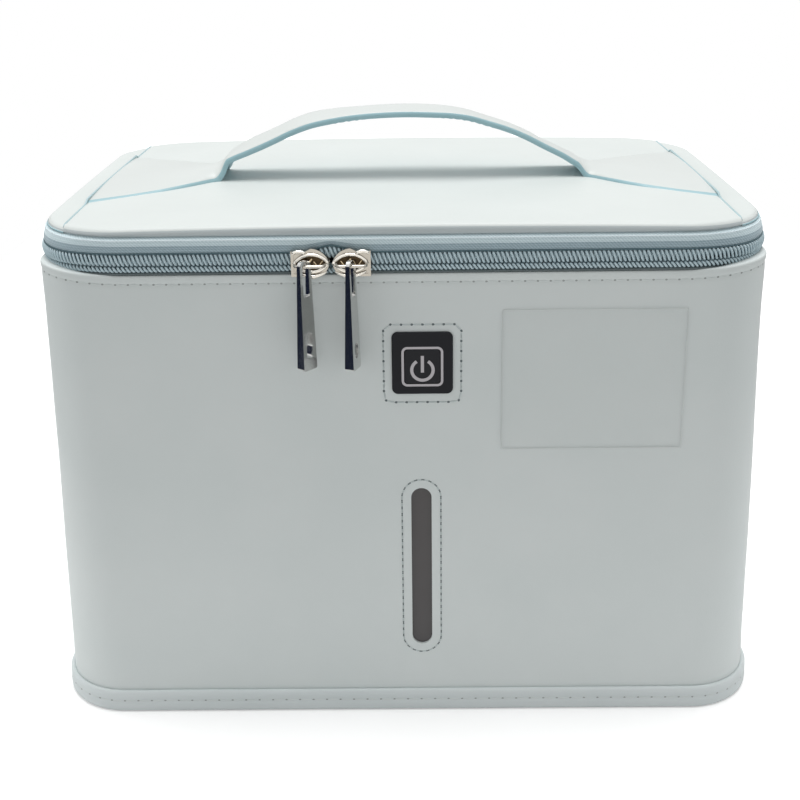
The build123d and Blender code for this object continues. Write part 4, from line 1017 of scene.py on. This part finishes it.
def side_seam_path(side):
    """Along the lid's top at a side seam, down at each end into the roll."""
    x = side * SEAM_X
    edge = LID[1] + math.sqrt(LID[2] ** 2 - (SEAM_X - LID[0]) ** 2)
    ends = ((1.6, 0.9), (2.6, 0.3), (4.0, 0.05))
    points = [(x, -(edge - back), lid_z(x, edge - back) - drop) for back, drop in ends]
    for y in np.linspace(-edge + 6, edge - 6, 60):
        over_wing = 1.5 * (1 - smooth(50.0, 55.0, abs(y)))
        points.append((x, y, lid_z(x, y) + sag(x, y) + over_wing))
    points += [(px, -py, pz) for px, py, pz in points[2::-1]]
    return points


def lid_parts():
    cover = lid_shell("lid_top", 0.0, 0.0, 0)
    left = lid_shell("lid_side_skin_left", 0.55, -0.1, -1)
    right = lid_shell("lid_side_skin_right", 0.55, -0.1, 1)
    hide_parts("lid_cover")
    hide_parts("lid_side_left")
    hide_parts("lid_side_right")
    for side, name in ((-1, "left"), (1, "right")):
        path = np.array(side_seam_path(side)) - (0, 0, 0.18)
        piece("seam_line_" + name, *tube(path, 0.5, 8), "lid", SEAM_EDGE, "leather")
        rows, _ = ring(LID, 2.0, 24)
        rows = [r for r in rows if side * (r[0] + r[2] * LID[2]) > SEAM_X]
        rows.sort(key=lambda r: r[1] + r[3] * LID[2])
        path = outward(np.array(rows), LID[2] - 0.1, 215.62)
        piece("edge_line_" + name, *tube(path, 0.3), "lid", EDGE, "leather")


# Handle


def handle_line():
    """The strap's upper line from wing end to wing end, seen from the front."""
    wing = [(136.0, 220.7), (129.0, 221.3), (121.0, 222.0), (113.0, 222.7), (106.0, 223.2)]
    left = [(-x, z) for x, z in wing] + [(-98.5, 223.9), (-92.0, 224.6)]
    left_root = [(-87.6, 225.5), (-85.0, 227.0), (-82.9, 229.2), (-79.3, 231.3)]
    strap = [(-73.6, 233.7), (-65.0, 237.3), (-59.0, 240.0), (-53.0, 242.8), (-44.3, 245.9)]
    strap += [(-32.8, 248.0), (-21.2, 249.2), (-9.7, 249.9), (1.0, 250.1), (12.0, 249.7)]
    strap += [(20.6, 249.0), (29.2, 247.5), (37.9, 244.8), (46.5, 242.0), (55.2, 238.3)]
    strap += [(64.0, 233.7), (72.7, 229.3)]
    right_root = [(78.6, 226.4), (84.6, 224.4), (91.0, 223.7), (98.5, 223.4)]
    fades = (0.95, 0.6, 0.25, 0.05)
    points = left + [(x + 1.2, z + 0.5) for x, z in left_root]
    points += [(x + 1.56 + 0.0063 * x, z + 0.92 + 0.002 * x) for x, z in strap]
    points += [(x + 2.0, z + 0.9 * t) for (x, z), t in zip(right_root, fades)]
    return bent(points + wing[::-1], 230)


def handle():
    """The strap and its two wings as one band, with painted edges and underside."""
    line = handle_line()
    tangent = unit(np.gradient(line, axis=0))
    widths = ((0, 13.0), (78, 13.0), (83.5, 13.5), (88, 16.4), (93, 21.5), (99, 27.5))
    widths += ((107, 34.5), (121, 44.0), (136, 52.0))
    # Round the strap: the place across it and how far up its thickness
    edge = [(-1.0, 0.25), (-0.985, 0.62), (-0.95, 0.9), (-0.9, 1.0)]
    section = edge + [(v, 1.0) for v in (-0.75, -0.6, -0.4, -0.2, 0.0, 0.2, 0.4, 0.6, 0.75)]
    section += [(-v, t) for v, t in edge[::-1]]
    section += [(v, 0.0) for v in (0.985, 0.93, 0.7, 0.35, 0.0, -0.35, -0.7, -0.93, -0.985)]
    verts, uvs = [], []
    for (x, z), (tx, tz), run in zip(line, tangent, lengths(line)):
        far = abs(x)
        half = float(np.interp(far, *zip(*widths)))
        thick = 2.7 - 1.2 * smooth(86, 100, far) - 0.55 * smooth(92, 116, far)
        roll = 0.07 * smooth(-14, -50, x) * smooth(-84, -70, x)
        roll -= 0.055 * smooth(8, 44, x) * smooth(84, 72, x)
        seat = lid_z(x, half) + 1.35 - 0.5 * smooth(92, 116, far)
        drop = smooth(80.5, 86.5, far) * max(0.0, z - seat)
        for v, t in section:
            y = v * half
            down = drop * abs(v) ** 2.0 + 0.25 * abs(v) ** 4
            under = thick * (1 - t)
            if t < 0.1:
                under += 0.16 * ripple(x, y)
            verts.append((x + tz * under, y, z - down - tx * under + roll * y))
            uvs.append((run * MM, (y + (0 if t > 0.2 else 60)) * MM))
    n, m = len(line), len(section)
    top_side, under_side, painted = 0, 1, 2
    sides = [painted] * 2 + [top_side] * 12 + [painted] * 2 + [under_side] * (m - 17) + [painted]
    faces, mats = quads(n, m) + caps(n, m), sides * (n - 1) + [painted] * 2
    skins = [HANDLE_SKIN, HANDLE_UNDER, EDGE]
    obj = piece("handle_band", verts, faces, "lid", skins, "leather", uvs, mats=mats)
    obj.data.set_sharp_from_angle(angle=math.radians(60))
    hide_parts("handle_strap")


def ripple(x, y):
    """Small creases under the strap where it bends."""
    near = smooth(14, 22, x) * smooth(46, 38, x) + smooth(-36, -28, x) * smooth(-14, -20, x)
    return near * math.sin(x * 1.9 + 0.25 * y)


# Hinge


def hinge():
    """The web of cloth and the flat lead between the case and the lid."""
    levels = [187.0, 190.0, 193.0, 196.0, 198.5] + list(np.linspace(199.8, 215.5, 22)) + [216.9]
    columns = np.linspace(-111.4, 111.4, 76)
    verts = []
    for inset, way in ((1.2, 1), (1.8, -1)):
        for z in levels:
            lean = flare(z) if z < BODY_TOP else 0.0
            crease = 0.22 * math.exp(-(((z - 207.65) / 1.1) ** 2)) * way
            verts += [(x, HALF_DEPTH + lean - inset - crease, z) for x in columns]
    n, m = len(columns), len(levels)
    layer = n * m
    faces = quads(m, n, close_columns=False) + quads(m, n, close_columns=False, base=layer)
    sides = [k * n + i for k in range(m - 1) for i in (0, n - 1)]
    ends = [k * n + i for i in range(n - 1) for k in (0, m - 1)]
    for step, starts in ((n, sides), (1, ends)):
        faces += [(a, a + step, a + step + layer, a + layer) for a in starts]
    web = loose("hinge_web", verts, faces, TAPE, "zip_fabric")
    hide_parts("hinge_strip")
    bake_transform(web)

    low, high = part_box("hinge_lead")
    x, y, _ = (low + high) / 2 * 1000
    levels = np.linspace(low[2] * 1000, high[2] * 1000, 24)
    section = ((-3, -0.2), (3, -0.2), (3, 0.2), (-3, 0.2))
    verts = [(x + dx, y + dy, z) for z in levels for dx, dy in section]
    faces = quads(len(levels), 4) + caps(len(levels), 4)
    flex = loose("hinge_flex", verts, faces, RUBBER, "lead_sheath")
    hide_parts("hinge_lead")
    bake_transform(flex)


# Power sign, slider faces, film edge


def icon():
    """The power sign on the cap: an open ring and a bar, lying on the leaning face."""
    cx, cz, radius, width = PLATE[0], SIGN_Z, 4.35, 1.3

    def band(points):
        points = np.asarray(points, float)
        t = unit(np.gradient(points, axis=0))
        side = np.stack([-t[:, 1], t[:, 0]], axis=1) * width / 2
        verts = []
        for (x, z), (sx, sz) in zip(points, side):
            for k, y in ((1, 0.05), (1, -0.09), (-1, -0.09), (-1, 0.05)):
                level = z + k * sz
                verts.append((x + k * sx, y - 1.0 - HALF_DEPTH - flare(level), level))
        return verts, quads(len(points), 4) + caps(len(points), 4)

    turns = np.linspace(math.radians(32), math.radians(328), 48)
    arc = band([(cx + radius * math.sin(a), cz + radius * math.cos(a)) for a in turns])
    bar = band([(cx, cz - 1.05), (cx, cz + 2.5), (cx, cz + 6.1)])
    piece("power_sign", *gather([arc, bar]), "button", SILVER, "bright_trim", shaded=False)


def slider_face(side, x, nose):
    """The cast detail on a slider's face: a rolled rim round a recess darkened with painted shade,
    gilt inside, a lip.
    """
    body, slot = "slider_" + side, "chrome"
    cx, cz = x + 0.5 * nose, ZIP_MIDDLE + 0.3
    rim_y = FACE_Y - 0.1

    # A flat dark lens behind the rim: painted shade in the recess
    hollow = lens(cx, cz, 6.1, 2.9)
    verts = [(px, FACE_Y + back, pz) for back in (0.38, 0.38 + 0.12) for px, pz in hollow]
    faces = caps(2, len(hollow)) + quads(2, len(hollow))
    piece(side + "_hollow", verts, faces, body, HOLLOW_PAINTED_SHADE, slot, shaded=False)

    edge = [(px, rim_y, pz) for px, pz in lens(cx, cz, 6.7, 3.5, 24)]
    places, low_z, high_z = np.linspace(-1, 1, 22), ZIP_MIDDLE - 5.0, ZIP_MIDDLE + 4.4
    lip = [(cx + 6.2 * t, rim_y - 0.3 * (1 - t * t), low_z + 1.9 * t * t) for t in places]
    shoulder = []
    for t in np.linspace(0, 1, 10):
        level = high_z + 0.7 * math.sin(math.pi * t)
        shoulder.append((x - nose * (6.9 - 5.0 * t), rim_y, level))
    lip_radius = 0.6 * np.sqrt(1.02 - places**2) + 0.15
    rim = [tube(edge, 0.72, 8, closed=True), tube(lip, lip_radius, 8), tube(shoulder, 0.75, 8)]
    piece(side + "_rim", *gather(rim), body, CHROME, slot)

    gilt = []
    scrolls = ((-2.9, -0.2, 0.75, -1), (-0.6, 0.7, 0.95, 1))
    scrolls += ((1.8, -0.4, 0.8, -1), (3.8, 0.1, 0.5, 1))
    for dx, dz, size, way in scrolls:
        bend = []
        for t in np.linspace(-1, 1, 9):
            out = FACE_Y + 0.15 - 0.3 * (1 - t * t)
            bend.append((cx + dx + 0.9 * t, out, cz + dz + 1.1 * t * way))
        gilt.append(tube(bend, size * 0.5, 8))
    piece(side + "_gilt", *gather(gilt), body, GILT, slot)


def film_edge():
    """The raised edge of the clear film."""
    low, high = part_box("label_film")
    x0, x1, z0, z1 = (v / MM for v in (low[0], high[0], low[2], high[2]))
    width, height = x1 - x0 - 0.3, z1 - z0 - 0.3
    outline = rounded((x0 + x1) / 2, (z0 + z1) / 2, width, height, 1.2, 4)
    path = [on_front(x, z, 0.28) for x, z in outline]
    piece("film_rim", *tube(path, 0.16, 5, closed=True), "case", FILM_EDGE, "clear_film")


body_skin()
foot()
liners()
zip_parts()
seams()
lid_parts()
handle()
hinge()
icon()
for slider in SLIDER_X:
    slider_face(*slider)
film_edge()

# CAD nodes that show
for finish, nodes, bevel in (
    (FOAM, "body_core lid_core", 0),
    (STIFF, "base_board lid_board", 0),
    (WHITE, "control_cover tactile_switch switch_plunger", 0),
    (BOARD, "control_board lamp_board", 0),
    (STEEL, "board_screws wall_rivets lamp_screws lid_magnet inlet_nut", 0),
    (RUBBER, "case_lead lid_lead", 0),
    (FILM, "label_film", 0),
    (LENS, "lamp_lens", 0),
    (LAMP, "uv_lamps", 0),
    (WINDOW, "window_pane", 0),
    (WHITE, "lamp_housing", 0.4),
    (BLACK, "button_housing", 0.25),
    (SILVER, "button_ring", 0.08),
    (BLACK_CAP, "power_button lid_switch", 0),
    (BLACK_CAP, "power_inlet", 0.2),
    (CAST, "left_slider right_slider", 0.22),
    (PULL, "left_pull right_pull", 0.3),
):
    for node in nodes.split():
        paint(node, finish, bevel)


# Floor, light and camera


def floor():
    """A white table top that ends in front of the case, so that metal mirrors the studio there.

    A little light of its own, for the camera alone, lets it meet the backdrop.
    """
    m = Mat("floor_white", (0.84, 0.84, 0.84), 0.9)
    path = m.node("ShaderNodeLightPath")
    m.set("Emission Color", (1, 1, 1, 1))
    m.set("Emission Strength", m.math("MULTIPLY", path.outputs["Is Camera Ray"], 0.3))
    corners = ((-420, -260), (420, -260), (420, 1400), (-420, 1400))
    obj = add_mesh("floor", [(x, y, -0.3) for x, y in corners], [(0, 1, 2, 3)])
    obj.data.materials.append(m.m)


def sun(name, toward, strength, spread):
    """A broad light from a direction."""
    lamp = bpy.data.lights.new(name, "SUN")
    lamp.energy = strength
    lamp.angle = math.radians(spread)
    add_object(name, lamp).rotation_euler = Vector(toward).to_track_quat("Z", "Y").to_euler()


def greys(*stops):
    """Stops of a ramp from a place and a grey each."""
    return tuple((at, (grey, grey, grey)) for at, grey in stops)


# What metal mirrors round the horizon, from behind past the left, the front and the right
AROUND = greys((0.0, 0.5), (0.14, 0.3))
AROUND += ((0.2, (0.008, 0.013, 0.032)), (0.42, (0.008, 0.012, 0.028)))
AROUND += ((0.45, (1.0, 0.98, 0.94)), (0.57, (1.0, 0.97, 0.92)))
AROUND += ((0.61, (0.36, 0.36, 0.355)), (0.74, (0.3, 0.3, 0.295)))
AROUND += greys((0.86, 0.27), (1.0, 0.5))
# What it mirrors overhead, from below to above
ABOVE = greys((0.0, 0.6), (0.56, 0.7), (0.7, 0.9), (0.85, 1.1), (1.0, 1.2))
# What lights the surfaces, from the left to the right, and from below
ACROSS = ((0.0, (1.85, 1.84, 1.82)), *greys((0.2, 0.45), (0.6, 0.37), (0.82, 0.4)))
ACROSS += ((1.0, (1.45, 1.45, 1.44)),)
BELOW = (0.63, 0.635, 0.635, 1)


def world():
    """A white backdrop for the camera, even light for surfaces and a studio for reflections."""
    scene.world = bpy.data.worlds.new("studio")
    scene.world.use_nodes = True
    w = Nodes(scene.world.node_tree)
    path = w.node("ShaderNodeLightPath").outputs
    split = w.node("ShaderNodeSeparateXYZ")
    w.feed(split.inputs["Vector"], w.node("ShaderNodeTexCoord").outputs["Generated"])
    x, y, z = (split.outputs[axis] for axis in "XYZ")

    def raised(value):
        return w.math("ADD", w.math("MULTIPLY", value, 0.5), 0.5)

    round_turn = w.math("ARCTAN2", x, w.math("MULTIPLY", y, -1.0))
    turn = w.math("ADD", w.math("DIVIDE", round_turn, 2 * math.pi), 0.5)
    around, above = w.ramp(turn, *AROUND), w.ramp(raised(z), *ABOVE)
    mirror = w.mix(w.math("GREATER_THAN", z, 0.12), around, above)
    soft = w.mix(w.math("GREATER_THAN", z, 0.0), BELOW, w.ramp(raised(x), *ACROSS))
    light = w.mix(path["Is Glossy Ray"], soft, mirror)
    seen = w.mix(path["Is Camera Ray"], light, (1, 1, 1, 1))
    w.feed(w.tree.nodes["Background"].inputs["Color"], seen)


def camera():
    """The photograph's camera, from a fit to its outlines."""
    yaw, pitch, roll = 0.0091, 0.3178, -0.0128
    turn = Matrix.Rotation(yaw, 3, "Z")
    forward = turn @ Vector((0, math.cos(pitch), -math.sin(pitch)))
    level = turn @ Vector((1, 0, 0))
    up, c, s = level.cross(forward), math.cos(roll), math.sin(roll)
    right, top = c * level + s * up, c * up - s * level
    data = bpy.data.cameras.new("camera")
    scene.camera = add_object("camera", data)
    place = Matrix.Translation((0.0030929, -0.5694535, 0.3345772))
    scene.camera.matrix_world = place @ Matrix((right, top, -forward)).transposed().to_4x4()
    data.sensor_width = 36.0
    data.lens = 1226.543 / 800 * 36.0  # focal length in pixels of an 800-pixel frame
    data.shift_y = -0.1
    data.clip_start = 0.01


floor()
world()
sun("key", (0.0, 0.15, 1.0), 2.25, 38)
camera()
scene.view_settings.view_transform = "Standard"
scene.view_settings.look = "None"
